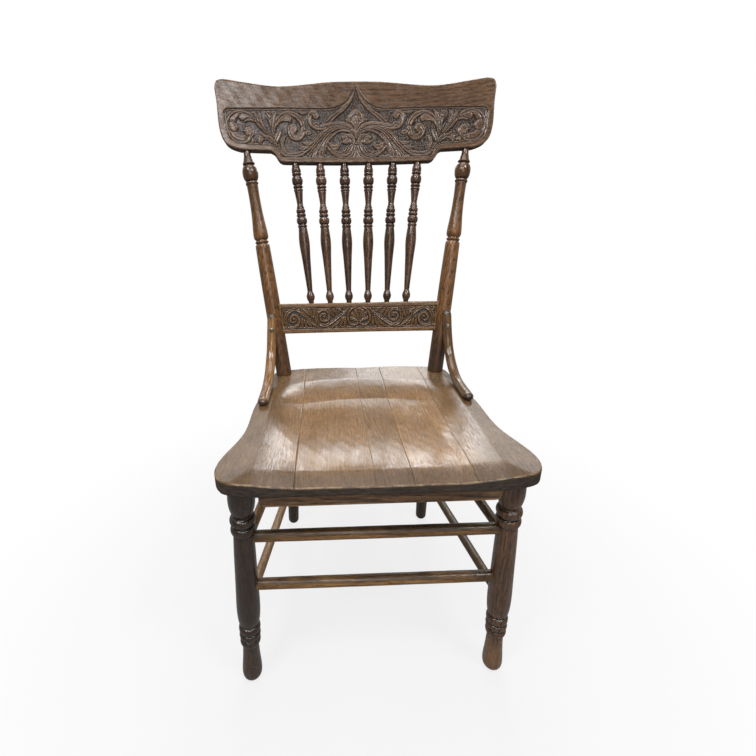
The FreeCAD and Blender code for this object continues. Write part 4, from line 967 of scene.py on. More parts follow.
def post_girth(length):
    """A back post: plain shaft, ring, vase, lip, ball and the flared cup under the crest."""
    shoulder, lip = length - 188.0, length - 66.5
    vase_low = shoulder + 18.0
    run = lip - vase_low
    shaft = flowing([(0.0, POST_R), (0.3 * shoulder, POST_R), (0.6 * shoulder, 15.84),
                     (0.9 * shoulder, 15.04), (shoulder, 14.5)], 6.0)
    ring = from_station(shoulder, [(1.6, 14.0), (3.0, 13.0), (4.4, 11.6)])
    collar, _ = ring_rows(shoulder + 4.6, ((4.5, 11.7, 1.9),), 1.0)
    vase = flowing([(vase_low - 5.6, 11.4), (vase_low - 4.2, 13.0), (vase_low - 1.0, 14.5),
                    (vase_low + 0.055 * run, 14.9), (vase_low + 0.3 * run, 12.8),
                    (vase_low + 0.57 * run, 11.2), (vase_low + 0.84 * run, 10.9), (lip, 11.3)], 1.2)
    knob, cup = ring_rows(lip, ((5.6, 11.2, 1.6), (31.5, 8.6, 7.2)), 0.9)
    bell = from_station(cup, [(0.0, 10.4), (1.0, 11.9), (3.2, 11.9), (6.0, 10.5), (11.0, 8.9), (17.0, 7.4)])
    flare = flowing(bell + [(length + 1.5, 6.6)], 0.8)
    rows = [(-12.0, 11.0), (-10.1, 11.0), (-10.0, POST_R)] + shaft.tolist() + ring + collar
    rows += vase.tolist() + knob + flare.tolist()
    return np.array(rows + [(length + 1.6, 5.6), (length + 20.0, 5.6)])


# Stretchers

TENON_R = 6.2
FRONT_RUNGS = {"upper_front": (FRONT_AXIS, 315.0, 9.2, 8.9), "lower_front": (FRONT_AXIS, 217.0, 9.2, 8.9),
               "rear": (BACK_AXIS, 235.0, 8.1, 7.7)}
SIDE_RUNGS = {"upper": (295.0, 308.0), "lower": (171.0, 157.0)}
SIDE_RUNG_R, SIDE_RUNG_END_R = 8.1, 7.7


def on_axis(axis, hand, height):
    """Point of a leg's axis at a height above the floor; hand is 1 for the right side, -1 for the left."""
    return (axis[0] + (axis[1] - axis[0]) * height / axis[1][2]) * [hand, 1.0, 1.0]


def rung_girth(length, middle_r, end_r):
    """A stretcher between two leg axes, shouldered inside the legs."""
    run = np.linspace(11.0, length - 11.0, 70)
    uneven = 0.08 * np.sin(0.09 * run) * np.sin(0.031 * run)
    body = end_r + (middle_r - end_r) * np.sin(math.pi * run / length) + uneven
    return np.vstack([[(2.0, TENON_R), (10.8, TENON_R)], np.column_stack([run, body]),
                      [(length - 10.8, TENON_R), (length - 2.0, TENON_R)]])


# Screws

SCREW_DROP, SCREW_INSET, HEAD_SINK = 34.0, 17.0, 1.2
BRACE_SLOT_TURNS = (0.5, -0.9)
APRON_SCREWS = ((-0.12, 0.3), (0.0, 1.1), (0.12, -0.4))


def screws(tree, finish):
    """The braces' and the apron's screws, each with a place, an aim and a turn of its slot."""
    _, top = brace_path()
    out = brace_place(OFF_POST + [0.0, 0.0, BRACE_Z], 1.0) - brace_place([0.0, 0.0, BRACE_Z], 1.0)
    proud = 0.5 * BRACE_DEPTH - HEAD_SINK
    upper, lower = [], []
    for (hand, _), slant in zip(HANDS, BRACE_SLOT_TURNS):
        on_post = brace_place(top - UP_POST * SCREW_DROP + OFF_POST * proud, hand)
        upper.append((place(on_post), out * [hand, 1.0, 1.0], slant))
        on_seat = brace_place(np.array([0.0, BRACE_END[1] + SCREW_INSET, BRACE_Z]), hand) + [0.0, 0.0, proud]
        lower.append((place(on_seat), (0.0, 0.0, 1.0), slant + 0.7))
    low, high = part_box("apron_screws")
    under = [((x, 0.5 * (low.y + high.y), low.z + 0.003), (0.0, 0.0, -1.0), slant)
             for x, slant in APRON_SCREWS]
    for name, spots in (("brace_post_screw", upper), ("brace_seat_screw", lower), ("apron_screw", under)):
        at, aim, turn = zip(*spots)
        base = bpy.data.meshes.new(name + "_heads_places")
        base.from_pydata([tuple(p) for p in at], [], [])
        set_marks(base, {"aim": np.array(aim), "turn": np.array(turn)})
        fit(grown(name + "_heads", base, tree, {"Finish": finish}), name + "s")


# Finishes

def blend(tree, share, a, b, mode="MIX"):
    """One colour over another."""
    return put(tree, "ShaderNodeMix", {0: share, 6: a, 7: b}, data_type="RGBA", blend_type=mode,
               clamp_factor=True).outputs[2]


def spread(tree, value, low, high, to_low=0.0, to_high=1.0):
    """Eases a value's range to another; low may lie above high."""
    return put(tree, "ShaderNodeMapRange", {
        "Value": value, "From Min": low, "From Max": high, "To Min": to_low, "To Max": to_high,
    }, interpolation_type="SMOOTHSTEP").outputs[0]


def noise(tree, where, sizes, detail=2.0, rough=0.5, kind="Fac"):
    """Noise with its own frequency along each axis, in features per metre."""
    sizes = sizes if isinstance(sizes, tuple) else (sizes, sizes, sizes)
    scaled = vector_calc(tree, "MULTIPLY", where, sizes)
    return put(tree, "ShaderNodeTexNoise", {
        "Vector": scaled, "Scale": 1.0, "Detail": detail, "Roughness": rough}).outputs[kind]


def mark(tree, label, kind="Fac"):
    """What a mesh says of a spot."""
    return put(tree, "ShaderNodeAttribute", attribute_name=label).outputs[kind]


def shelter(tree, reach, low, high, inside=False):
    """How closed in a spot is within a reach or, looked at from inside, how bare."""
    seen = put(tree, "ShaderNodeAmbientOcclusion", {"Distance": reach}, samples=6, only_local=True,
               inside=inside)
    return spread(tree, seen.outputs["AO"], low, high)


def oak_grain_group():
    """Oak with the grain along X: straight or arched growth rings, streaks, open pores in the early wood."""
    tree, given, out = new_tree("oak_grain", "ShaderNodeTree", [
        ("Vector", VECTOR, None), ("Pale", COLOUR, None), ("Deep", COLOUR, None), ("Pore", COLOUR, None),
        ("Seed", NUMBER, 0.0), ("Rings", NUMBER, 150.0), ("Arch", NUMBER, 0.0), ("Rise", NUMBER, 6.0),
    ], [("Colour", COLOUR), ("Height", NUMBER)])
    seed = vector(tree, X=times(tree, given["Seed"], 0.37), Y=times(tree, given["Seed"], 0.61),
                  Z=times(tree, given["Seed"], 0.23))
    moved = vector_calc(tree, "ADD", given["Vector"], seed)
    wander = noise(tree, moved, (5.0, 14.0, 14.0), 3.0, 0.55)
    axes = parts_of(tree, given["Vector"])
    ring = times(tree, plus(tree, axes["Y"], times(tree, axes["Z"], 0.6)), given["Rings"])
    ring = plus(tree, ring, times(tree, times(tree, axes["Y"], axes["Y"]), given["Arch"]))
    ring = plus(tree, ring, times(tree, axes["X"], given["Rise"]))
    ring = plus(tree, ring, times(tree, wander, 4.0))
    phase = calc(tree, "FRACT", plus(tree, ring, given["Seed"]))
    early = calc(tree, "POWER", calc(tree, "SUBTRACT", 1.0, phase), 2.2)
    drift = noise(tree, moved, (3.5, 9.0, 9.0), 2.0, kind="Color")
    centred = vector_calc(tree, "SUBTRACT", drift, (0.5, 0.5, 0.5))
    wavy = vector_calc(tree, "ADD", moved, vector_calc(tree, "MULTIPLY", centred, (0.0, 0.022, 0.022)))
    streaks = noise(tree, wavy, (11.0, 330.0, 330.0), 4.0, 0.62)
    dashes = noise(tree, wavy, (62.0, 560.0, 560.0), 2.0, 0.6)
    cells = noise(tree, wavy, (95.0, 1300.0, 1300.0), 1.0, 0.5)
    open_wood = plus(tree, times(tree, early, 0.6), 0.4)
    dash = times(tree, spread(tree, dashes, 0.5, 0.58), open_wood)
    cell = times(tree, spread(tree, cells, 0.52, 0.64), open_wood)
    pores = calc(tree, "MAXIMUM", dash, cell, True)
    tone = plus(tree, times(tree, calc(tree, "SUBTRACT", 1.0, early), 0.3),
                times(tree, spread(tree, streaks, 0.3, 0.7), 0.7))
    colour = blend(tree, tone, given["Deep"], given["Pale"])
    wire(tree, out, {"Colour": blend(tree, times(tree, pores, 0.8), colour, given["Pore"]),
                     "Height": calc(tree, "SUBTRACT", times(tree, cell, -0.25), dash)})
    return tree


def aged_finish_group():
    """Old varnish over stained wood: blotches, grime and painted shade in hollows, worn arrises, nicks and
    uneven gloss.
    """
    tree, given, out = new_tree("aged_finish", "ShaderNodeTree", [
        ("Vector", VECTOR, None), ("Colour", COLOUR, None), ("Hollow", NUMBER, 0.0), ("Edge", NUMBER, 0.0),
        ("Grime and shade", COLOUR, None), ("Worn", COLOUR, None), ("Wear", NUMBER, 0.6), ("Blotch", NUMBER, 0.5),
        ("Gloss", NUMBER, 0.35),
    ], [("Colour", COLOUR), ("Roughness", NUMBER), ("Height", NUMBER)])
    where = given["Vector"]
    cloud = noise(tree, where, 14.0, 3.0, 0.55)
    patchy = noise(tree, where, 70.0, 3.0, 0.6)
    fine = noise(tree, where, 420.0, 2.0, 0.6)
    nick = spread(tree, noise(tree, where, 260.0, 1.0, 0.5), 0.7, 0.76)
    dim = blend(tree, 1.0, given["Colour"], (0.55, 0.5, 0.47, 1.0), "MULTIPLY")
    colour = blend(tree, times(tree, spread(tree, cloud, 0.62, 0.36), given["Blotch"]), given["Colour"], dim)
    # The Hollow share darkens with grime gathered in hollows and with painted shade in hollows and under
    # things.
    hollow_grime_and_shade = times(tree, given["Hollow"], spread(tree, patchy, 0.2, 0.6, 0.55, 1.0), True)
    colour = blend(tree, hollow_grime_and_shade, colour, given["Grime and shade"])
    # The Edge share lightens worn arrises; on pressed strokes' lips it is also a painted highlight.
    wear_and_highlight = times(tree, times(tree, given["Edge"], spread(tree, patchy, 0.38, 0.62)), given["Wear"], True)
    worn = times(tree, wear_and_highlight, spread(tree, fine, 0.25, 0.6, 0.6, 1.0))
    colour = blend(tree, worn, colour, given["Worn"])
    rough = plus(tree, given["Gloss"], times(tree, spread(tree, patchy, 0.3, 0.7), 0.07))
    rough = plus(tree, rough, times(tree, hollow_grime_and_shade, 0.06))
    wire(tree, out, {"Colour": blend(tree, times(tree, nick, 0.6), colour, given["Grime and shade"]),
                     "Roughness": plus(tree, rough, times(tree, worn, 0.08), True),
                     "Height": calc(tree, "SUBTRACT", times(tree, patchy, 0.12), times(tree, nick, 0.8))})
    return tree


OAK_GRAIN, AGED_FINISH = oak_grain_group(), aged_finish_group()
ALONG_X, ALONG_Y, ALONG_Z = (0.0, 0.0, 0.0), (0.0, 0.0, -0.5 * math.pi), (0.0, 0.5 * math.pi, 0.0)


def tint(red, green, blue):
    """A colour as it looks, in 0 to 255, to the light it stands for."""
    return tuple(((c / 255.0 + 0.055) / 1.055) ** 2.4 if c > 10 else c / 255.0 / 12.92
                 for c in (red, green, blue)) + (1.0,)


def toned(tone, *colour):
    """A colour made lighter or darker."""
    return tuple(c * tone for c in colour)


# The first colour darkens hollows and undersides, as grime and painted shade; the second is painted shade at
# the posts' heads and feet.
GRIME_AND_SHADE, POST_END_SHADE_COLOUR = tint(26, 20, 16), tint(50, 37, 27)


def new_finish(name):
    """A material, its nodes and its shader."""
    finish = bpy.data.materials.new(name)
    finish.use_nodes = True
    return finish, finish.node_tree, finish.node_tree.nodes["Principled BSDF"]


# Marks of single kinds of piece. Each changes a look: its colour, hollows, edges, relief and gloss.

def scuffed_foot(tree, where, look, worn, foot):
    """Varnish scuffed off near the floor."""
    scuff = noise(tree, where, (60.0, 60.0, 9.0), 3.0, 0.6)
    low = times(tree, spread(tree, parts_of(tree, where)["Z"], 0.1, 0.04),
                spread(tree, scuff, 0.3, 0.65, 0.3 * foot, foot))
    look["colour"] = blend(tree, low, look["colour"], worn)


def shaded_post_ends(tree, where, look, crown_shade, base):
    """Painted shade on a post's head under the crest and on its foot by the seat and brace, and a glossier
    head.
    """
    height = parts_of(tree, where)["Z"]
    colour = blend(tree, spread(tree, height, 0.7, 0.87, 0.0, crown_shade), look["colour"], POST_END_SHADE_COLOUR)
    look["colour"] = blend(tree, spread(tree, height, 0.6, 0.47, 0.0, base), colour, POST_END_SHADE_COLOUR)
    look["gloss"] = spread(tree, height, 0.79, 0.83, look["gloss"], 0.45 * look["gloss"])


def dark_tips(tree, where, look):
    """A brace's darker ends."""
    tip_darkening = spread(tree, mark(tree, "tip"), 0.2, 0.8, 0.0, 0.8)
    look["colour"] = blend(tree, tip_darkening, look["colour"], tint(46, 35, 28))


def pressed_ground(tree, where, look):
    """Dark, stippled ground around pressed ornament, grime and painted shade in its hollows, wear and painted
    highlight on its lips.
    """
    ground = mark(tree, "ground")
    pits = spread(tree, noise(tree, where, 300.0, 1.0, 0.5), 0.42, 0.58)
    colour = blend(tree, times(tree, ground, 0.8), look["colour"], tint(68, 52, 42))
    look["colour"] = blend(tree, times(tree, ground, times(tree, pits, 0.85)), colour, tint(28, 22, 18))
    # Hollows take grime and painted shade; lips take the worn colour as wear and painted highlight.
    look["hollow"] = calc(tree, "MAXIMUM", mark(tree, "hollow"), times(tree, look["hollow"], 0.8))
    look["edge"] = calc(tree, "MAXIMUM", mark(tree, "lip"), mark(tree, "edge"))
    look["relief"] = calc(tree, "SUBTRACT", times(tree, look["relief"], 0.6),
                          times(tree, times(tree, ground, pits), 1.6))
    look["gloss"] = plus(tree, times(tree, mark(tree, "wall"), 0.3), look["gloss"])


def trodden_rung(tree, where, look):
    """Dirt on a stretcher's upper side and towards its ends."""
    handled = noise(tree, where, (16.0, 16.0, 60.0), 3.0, 0.6)
    on_top = times(tree, spread(tree, look["facing"], 0.1, 0.75),
                   spread(tree, handled, 0.25, 0.65, 0.45, 1.0))
    colour = blend(tree, times(tree, on_top, 0.82), look["colour"], tint(52, 41, 32))
    far = spread(tree, calc(tree, "ABSOLUTE", parts_of(tree, where)["X"]), 0.11, 0.19, 0.0, 0.7)
    far = times(tree, far, spread(tree, handled, 0.3, 0.6, 0.5, 1.0))
    look["colour"] = blend(tree, far, colour, tint(52, 40, 31))


def worn_seat(tree, where, look):
    """A rubbed, lightly coated dish, a shaded front band and dark sawn edges."""
    dish, wall = mark(tree, "dish"), mark(tree, "wall")
    rubbed = blend(tree, 1.0, look["colour"], (1.6, 1.58, 1.56, 1.0), "MULTIPLY")
    colour = blend(tree, times(tree, dish, 0.85), look["colour"], rubbed)
    shaded = blend(tree, 1.0, colour, (0.62, 0.58, 0.54, 1.0), "MULTIPLY")
    colour = blend(tree, spread(tree, parts_of(tree, where)["Y"], -0.228, -0.25, 0.0, 0.75), colour, shaded)
    sawn = noise(tree, where, (90.0, 90.0, 700.0), 3.0, 0.6)
    dark = blend(tree, spread(tree, sawn, 0.35, 0.7), tint(38, 31, 26), tint(78, 64, 52))
    look["colour"] = blend(tree, times(tree, wall, 0.95), colour, dark)
    look["edge"] = spread(tree, mark(tree, "edge"), 0.45, 0.8)
    look["gloss"] = plus(tree, spread(tree, dish, 0.1, 0.6, look["gloss"] + 0.08, look["gloss"]),
                         times(tree, wall, 0.5))
    shader = tree.nodes["Principled BSDF"]
    wire(tree, shader, {"Coat Weight": times(tree, dish, 0.28), "Coat Roughness": 0.42})


MARKED = {"path": dark_tips, "pressed": pressed_ground, "rung": trodden_rung, "seat": worn_seat}


def oak(name, turn, seed, pale, deep, worn, pore=None, wear=0.6, blotch=0.5, gloss=0.34, hollow_reach=0.006,
        edge_reach=0.004, bump=0.25, marks=None, specular=0.5, rings=(150.0, 0.0, 6.0),
        centre=(0.0, 0.0, 0.0), foot=0.0, crown_shade=0.0, base=0.0):
    """One stained and varnished oak. turn brings the grain to X; marks says which mesh marks it reads."""
    finish, tree, shader = new_finish(name)
    where = put(tree, "ShaderNodeTexCoord").outputs["Object"]
    source = mark(tree, "grain", "Vector") if marks == "path" else where
    straight = put(tree, "ShaderNodeMapping", {"Vector": source, "Rotation": turn, "Location": centre})
    grain = put(tree, "ShaderNodeGroup", {
        "Vector": straight.outputs[0], "Pale": tint(*pale), "Deep": tint(*deep),
        "Pore": tint(*(pore or toned(0.55, *deep))), "Seed": seed,
        "Rings": rings[0], "Arch": rings[1], "Rise": rings[2],
    }, node_tree=OAK_GRAIN).outputs
    facing = parts_of(tree, put(tree, "ShaderNodeNewGeometry").outputs["Normal"])["Z"]
    # Painted shade on faces that look down, put into the hollow darkening; it also dulls their gloss.
    under = times(tree, spread(tree, facing, -0.25, -0.8), 0.75)
    # The hollow share darkens grooves and corners with grime and painted shade.
    look = {"colour": grain["Colour"], "relief": grain["Height"], "gloss": gloss, "facing": facing,
            "hollow": shelter(tree, hollow_reach, 0.92, 0.45),
            "edge": shelter(tree, edge_reach, 0.9, 0.5, True)}
    if foot:
        scuffed_foot(tree, where, look, tint(*worn), foot)
    # Painted shade at a post's head and foot.
    if crown_shade:
        shaded_post_ends(tree, where, look, crown_shade, base)
    if marks:
        MARKED[marks](tree, where, look)
    aged = put(tree, "ShaderNodeGroup", {
        "Vector": where, "Colour": look["colour"], "Hollow": calc(tree, "MAXIMUM", look["hollow"], under),
        "Edge": look["edge"], "Grime and shade": GRIME_AND_SHADE, "Worn": tint(*worn), "Wear": wear, "Blotch": blotch,
        "Gloss": look["gloss"],
    }, node_tree=AGED_FINISH).outputs
    height = plus(tree, look["relief"], times(tree, aged["Height"], 0.8))
    bumped = put(tree, "ShaderNodeBump", {"Height": height, "Strength": bump, "Distance": 0.0006})
    wire(tree, shader, {"Base Color": aged["Colour"], "Normal": bumped.outputs[0],
                        "Roughness": plus(tree, aged["Roughness"], times(tree, under, 0.7), True),
                        "Specular IOR Level": specular})
    return finish


def worn_steel(name):
    """Slotted screw steel, dulled, and browned in the slot by rust and painted shade, with a little bright
    wear.
    """
    finish, tree, shader = new_finish(name)
    where = put(tree, "ShaderNodeTexCoord").outputs["Object"]
    aged = put(tree, "ShaderNodeGroup", {
        "Vector": where, "Colour": tint(132, 120, 104), "Grime and shade": tint(44, 34, 27),
        "Worn": tint(186, 176, 160), "Hollow": shelter(tree, 0.003, 0.9, 0.4),
        "Edge": shelter(tree, 0.002, 0.9, 0.5, True), "Wear": 0.6, "Blotch": 0.6, "Gloss": 0.24,
    }, node_tree=AGED_FINISH).outputs
    bumped = put(tree, "ShaderNodeBump", {"Height": aged["Height"], "Strength": 0.3, "Distance": 0.0003})
    metal = spread(tree, noise(tree, where, 380.0, 3.0, 0.6), 0.3, 0.7, 0.45, 0.8)
    wire(tree, shader, {"Base Color": aged["Colour"], "Roughness": aged["Roughness"], "Metallic": metal,
                        "Normal": bumped.outputs[0]})
    return finish


def coat(piece, finish):
    """Gives a new piece its finish."""
    piece.data.materials.clear()
    piece.data.materials.append(finish)


def recoat(node, finish):
    """Gives a carried-over node a finish."""
    for slot in nodes[node].material_slots:
        slot.material = finish


# Put the chair together

BOARD_MIDDLES = (-160.0, -62.5, 18.0, 86.5, 172.0)
BOARD_TONES = (0.96, 1.0, 0.95, 1.03, 0.93)
for k, piece in enumerate(seat_boards()):
    coat(piece, oak("seat_oak_%d" % (k + 1), ALONG_Y, 3.1 * k + 1.0, pale=toned(BOARD_TONES[k], 130, 101, 67),
                    deep=toned(BOARD_TONES[k], 104, 78, 49), worn=(168, 138, 100), pore=(66, 48, 31),
                    wear=0.5, blotch=0.45, gloss=0.11, bump=0.09, marks="seat", rings=(0.0, 2400.0, 15.0),
                    centre=(0.0, -BOARD_MIDDLES[k] * MM, 0.0)))
    fit(piece, "seat_board_%d" % (k + 1))

crest, rail = crest_rail(), lower_rail()
coat(crest, oak("pressed_oak_crest", ALONG_X, 1.0, pale=(122, 95, 73), deep=(76, 57, 44), worn=(146, 112, 82),
                pore=(36, 26, 20), gloss=0.07, wear=0.4, marks="pressed", bump=0.12, specular=0.36,
                rings=(130.0, 0.0, 5.0)))
coat(rail, oak("pressed_oak_rail", ALONG_X, 2.0, pale=(134, 99, 62), deep=(86, 60, 36), worn=(164, 124, 80),
               pore=(40, 28, 18), gloss=0.08, wear=0.55, blotch=0.4, marks="pressed", bump=0.14,
               specular=0.45))
fit(crest, "crest_rail")
fit(rail, "lower_back_rail")

# The right brace is painted darker than the left, as painted shade.
BRACE_SHADING = {"left": 1.0, "right": 0.68}
# Painted shade at each post's head and foot, set per side.
POST_END_SHADES = {"left": {"crown_shade": 0.75, "base": 0.5}, "right": {"crown_shade": 0.5, "base": 0.8}}
for hand, side in HANDS:
    piece, tone = brace(hand, side + "_brace_bent"), BRACE_SHADING[side]
    coat(piece, oak("brace_oak_" + side, ALONG_X, 4.0 + hand, pale=toned(tone, 182, 136, 86),
                    deep=toned(tone, 122, 86, 50), worn=(180, 140, 92), gloss=0.1, wear=0.25, bump=0.2,
                    specular=0.6, marks="path"))
    fit(piece, side + "_brace")
for hand, side in HANDS:
    finish = oak("post_oak_" + side, ALONG_Z, 6.0 + hand, pale=(146, 101, 57), deep=(82, 54, 28),
                 worn=(164, 122, 76), gloss=0.2, wear=0.9, edge_reach=0.003, bump=0.2, specular=0.55,
                 **POST_END_SHADES[side])
    ends = lean(hand * POST_HALF, 0.0, 0.0), lean(hand * POST_TOP_HALF, 0.0, CREST_BOTTOM)
    turned(side + "_back_post", ends, post_girth, 56, finish)

SPINDLE_TONES = (0.95, 1.14, 0.9, 1.02, 0.9, 1.08)
for k, tone in enumerate(SPINDLE_TONES):
    finish = oak("spindle_oak_%d" % (k + 1), ALONG_Z, 8.0 + k, pale=toned(tone, 104, 74, 51),
                 deep=toned(tone, 50, 34, 23), worn=(146, 110, 74), gloss=0.1, wear=0.4, bump=0.15,
                 specular=0.6)
    turned("spindle_%d" % (k + 1), spindle_ends(k), spindle_girth, 48, finish)

screws(screw_tree(), worn_steel("screw_steel_worn"))

LEG_LOOKS = {
    "left": {"seed": 11.0, "pale": (72, 52, 37), "deep": (42, 31, 22), "worn": (118, 88, 60), "gloss": 0.1,
             "wear": 0.5, "foot": 0.15, "specular": 0.8},
    "right": {"seed": 12.0, "pale": (122, 87, 60), "deep": (66, 46, 32), "worn": (158, 118, 78),
              "gloss": 0.11, "wear": 0.6, "foot": 0.4, "specular": 0.7},
}
for hand, side in HANDS:
    # The wider hollow reach darkens the rings' grooves with grime and painted shade.
    finish = oak("leg_oak_%s_front" % side, ALONG_Z, hollow_reach=0.01, **LEG_LOOKS[side])
    turned(side + "_front_leg", FRONT_AXIS * [hand, 1.0, 1.0], leg_girth, 56, finish)
for side, seed in (("left", 13.0), ("right", 14.0)):
    finish = oak("leg_oak_%s_back" % side, ALONG_Z, seed, pale=(88, 65, 48), deep=(46, 34, 25),
                 worn=(124, 92, 62), gloss=0.2, wear=0.5, specular=0.3)
    recoat(side + "_back_leg", finish)
recoat("front_apron", oak("apron_oak", ALONG_X, 15.0, pale=(156, 118, 84), deep=(58, 43, 32),
                          worn=(166, 128, 88), specular=0.3))

for k, (place_name, (axis, height, middle_r, end_r)) in enumerate(FRONT_RUNGS.items()):
    node = place_name + "_stretcher"
    finish = oak("stretcher_oak_" + node, ALONG_X, 16.0 + k, pale=(174, 130, 80), deep=(114, 81, 48),
                 worn=(190, 148, 94), gloss=0.16, marks="rung", specular=0.4)
    turned(node, (on_axis(axis, -1.0, height), on_axis(axis, 1.0, height)),
           lambda length: rung_girth(length, middle_r, end_r), 40, finish)
# The right side's stretchers are painted darker than the left, as painted shade.
SIDE_RUNG_SHADING, seed = {"left": 1.0, "right": 0.58}, 20.0
for hand, side in HANDS:
    tone = SIDE_RUNG_SHADING[side]
    for level, (front_height, back_height) in SIDE_RUNGS.items():
        node = "%s_%s_side_stretcher" % (side, level)
        finish = oak("stretcher_oak_" + node, ALONG_Y, seed, pale=toned(tone, 196, 154, 104),
                     deep=toned(tone, 138, 102, 64), worn=toned(tone, 200, 160, 108), gloss=0.26, wear=0.5,
                     specular=0.35)
        turned(node, (on_axis(FRONT_AXIS, hand, front_height), on_axis(BACK_AXIS, hand, back_height)),
               lambda length: rung_girth(length, SIDE_RUNG_R, SIDE_RUNG_END_R), 40, finish)
        seed += 1.0


# Studio: pale floor, soft lights, camera

FLOOR_RINGS, FLOOR_SIDES = (0.4, 0.8, 1.4, 2.4, 4.0, 8.0, 16.0), 64


def stage_floor():
    """A pale disc that looks white to the camera away from the chair, and dimmer in mirrors."""
    mesh = bpy.data.meshes.new("studio_floor")
    verts, faces = [(0.0, 0.0, 0.0)], []
    turns = [2 * math.pi * s / FLOOR_SIDES for s in range(FLOOR_SIDES)]
    for r in FLOOR_RINGS:
        verts += [(r * math.cos(t), r * math.sin(t), 0.0) for t in turns]
    for s in range(FLOOR_SIDES):
        t = (s + 1) % FLOOR_SIDES
        faces.append((0, 1 + s, 1 + t))
        for k in range(len(FLOOR_RINGS) - 1):
            a, b = 1 + k * FLOOR_SIDES, 1 + (k + 1) * FLOOR_SIDES
            faces.append((a + s, b + s, b + t, a + t))
    mesh.from_pydata(verts, [], faces)
    floor = add_object("studio_floor", mesh)
    finish, tree, shader = new_finish("pale_floor")
    wire(tree, shader, {"Base Color": (0.6, 0.6, 0.595, 1.0), "Roughness": 0.8, "Specular IOR Level": 0.1})
    path = put(tree, "ShaderNodeLightPath").outputs
    mirrored = calc(tree, "MAXIMUM", path["Is Glossy Ray"], path["Is Transmission Ray"])
    strength = calc(tree, "SUBTRACT", 1.0, times(tree, mirrored, 0.72))
    white = put(tree, "ShaderNodeEmission", {"Strength": strength})
    where = put(tree, "ShaderNodeTexCoord").outputs["Object"]
    far = put(tree, "ShaderNodeVectorMath", {0: where}, operation="LENGTH").outputs["Value"]
    fade = spread(tree, far, 0.35, 0.95, 0.78, 1.0)
    seen = calc(tree, "MAXIMUM", times(tree, path["Is Camera Ray"], fade), mirrored)
    mixed = put(tree, "ShaderNodeMixShader", {0: seen, 1: shader.outputs[0], 2: white.outputs[0]})
    wire(tree, tree.nodes["Material Output"], {"Surface": mixed.outputs[0]})
    coat(floor, finish)


def studio_world():
    """White to the camera; a faint sky for light, brighter behind the chair in mirrors."""
    world = bpy.data.worlds.new("studio")
    bpy.context.scene.world = world
    world.use_nodes = True
    tree = world.node_tree
    soft = tree.nodes["Background"]
    wire(tree, soft, {"Color": (0.92, 0.96, 1.0, 1.0), "Strength": 0.12})
    white = put(tree, "ShaderNodeBackground", {"Color": (1.0, 1.0, 1.0, 1.0), "Strength": 1.0})
    path = put(tree, "ShaderNodeLightPath").outputs
    towards = parts_of(tree, put(tree, "ShaderNodeTexCoord").outputs["Generated"])
    mirrored = times(tree, path["Is Glossy Ray"], spread(tree, towards["Y"], -0.3, 0.5, 0.05, 0.5))
    seen = calc(tree, "MAXIMUM", mirrored, path["Is Transmission Ray"])
    seen = calc(tree, "MAXIMUM", path["Is Camera Ray"], seen)
    mixed = put(tree, "ShaderNodeMixShader", {0: seen, 1: soft.outputs[0], 2: white.outputs[0]})
    wire(tree, tree.nodes["World Output"], {"Surface": mixed.outputs[0]})


def lamp(name, at, towards, size, watts):
    """A soft rectangular light, unseen by the camera."""
    light = bpy.data.lights.new(name, "AREA")
    light.shape, light.size, light.size_y = "RECTANGLE", size[0], size[1]
    light.energy = watts
    thing = add_object(name, light)
    thing.location = at
    thing.rotation_euler = (Vector(towards) - Vector(at)).to_track_quat("-Z", "Y").to_euler()
    thing.visible_camera = False


stage_floor()
studio_world()
lamp("top_softbox", (0.0, -0.1, 2.6), (0.0, 0.0, 0.4), (1.6, 1.2), 22.0)
lamp("left_window", (-0.8, -1.0, 2.2), (0.0, 0.05, 0.6), (0.5, 0.5), 17.0)
lamp("right_window", (0.9, -1.0, 2.2), (0.0, 0.05, 0.6), (0.5, 0.5), 15.0)
lamp("front_softbox", (0.2, -2.4, 1.5), (0.0, 0.0, 0.5), (2.0, 1.2), 6.5)
lamp("front_strip", (0.05, -1.4, 1.42), (0.0, 0.15, 0.7), (0.12, 0.54), 2.4)
lamp("crest_strip", (-0.1, -1.35, 2.12), (-0.2, 0.15, 0.95), (0.22, 0.5), 4.2)

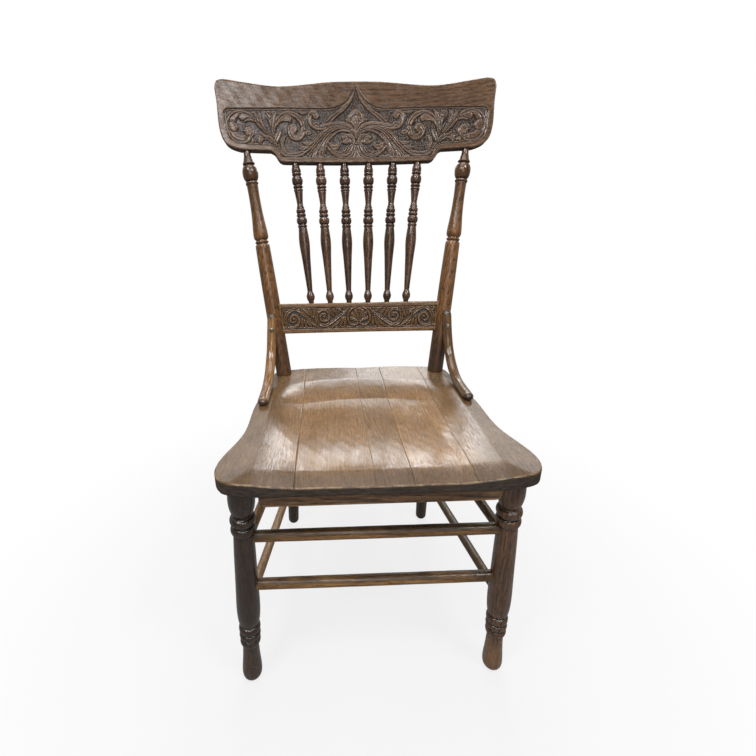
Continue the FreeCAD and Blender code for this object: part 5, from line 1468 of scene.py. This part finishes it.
# Rear lights, all in one upright plane, that the varnished seat mirrors towards the camera
REAR_Y, SEAT_MIDDLE = 2.13, (0.0, -0.1, 0.44)
for name, x, z, size, watts in (
        ("rear_softbox", 0.3, 1.8, (1.1, 0.28), 7.4), ("rear_low_softbox", 0.02, 1.56, (0.8, 0.22), 1.2),
        ("rear_rim_softbox", 0.4, 1.25, (0.65, 0.2), 2.3),
        ("rear_left_softbox", -0.32, 2.2, (0.4, 0.45), 4.8),
        ("rear_right_softbox", 0.55, 2.28, (0.35, 0.35), 4.4),
        ("rear_right_strip", 0.95, 2.4, (0.45, 1.0), 4.2),
        ("rear_high_softbox", 0.0, 2.8, (1.0, 0.6), 12.0), ("rear_left_wall", -0.95, 1.85, (1.1, 0.5), 3.5),
        ("rear_right_wall", 1.5, 1.72, (1.1, 0.6), 4.8), ("rear_top_strip", 0.25, 3.35, (1.5, 0.35), 1.6)):
    lamp(name, (x, REAR_Y, z), SEAT_MIDDLE, size, watts)

# Camera, as fitted to the photograph: sizes in pixels, angles in degrees, place in metres
PIXELS, FOCAL, MIDDLE = 756.0, 424.924, (339.335, 359.52)
YAW, PITCH, ROLL = 1.58, 20.45, -0.78
CAMERA_AT, SENSOR = (-0.06745, -0.736655, 0.789139), 36.0


def camera():
    """The photograph's camera."""
    yaw, pitch, roll = (math.radians(a) for a in (YAW, PITCH, ROLL))
    ahead = Vector((math.sin(yaw), math.cos(yaw), 0.0))
    across = Vector((math.cos(yaw), -math.sin(yaw), 0.0))
    up = Vector((0.0, 0.0, 1.0))
    look = ahead * math.cos(pitch) - up * math.sin(pitch)
    rise = ahead * math.sin(pitch) + up * math.cos(pitch)
    right = across * math.cos(roll) + rise * math.sin(roll)
    rise = rise * math.cos(roll) - across * math.sin(roll)
    lens = bpy.data.cameras.new("camera")
    lens.sensor_fit, lens.sensor_width = "HORIZONTAL", SENSOR
    lens.lens = FOCAL / PIXELS * SENSOR
    lens.shift_x = (0.5 * PIXELS - MIDDLE[0]) / PIXELS
    lens.shift_y = (MIDDLE[1] - 0.5 * PIXELS) / PIXELS
    lens.clip_start = 0.01
    thing = add_object("camera", lens)
    turn = Matrix((right, rise, -look)).transposed().to_4x4()
    thing.matrix_world = Matrix.Translation(CAMERA_AT) @ turn
    bpy.context.scene.camera = thing


camera()
bpy.context.scene.view_settings.view_transform = "Standard"
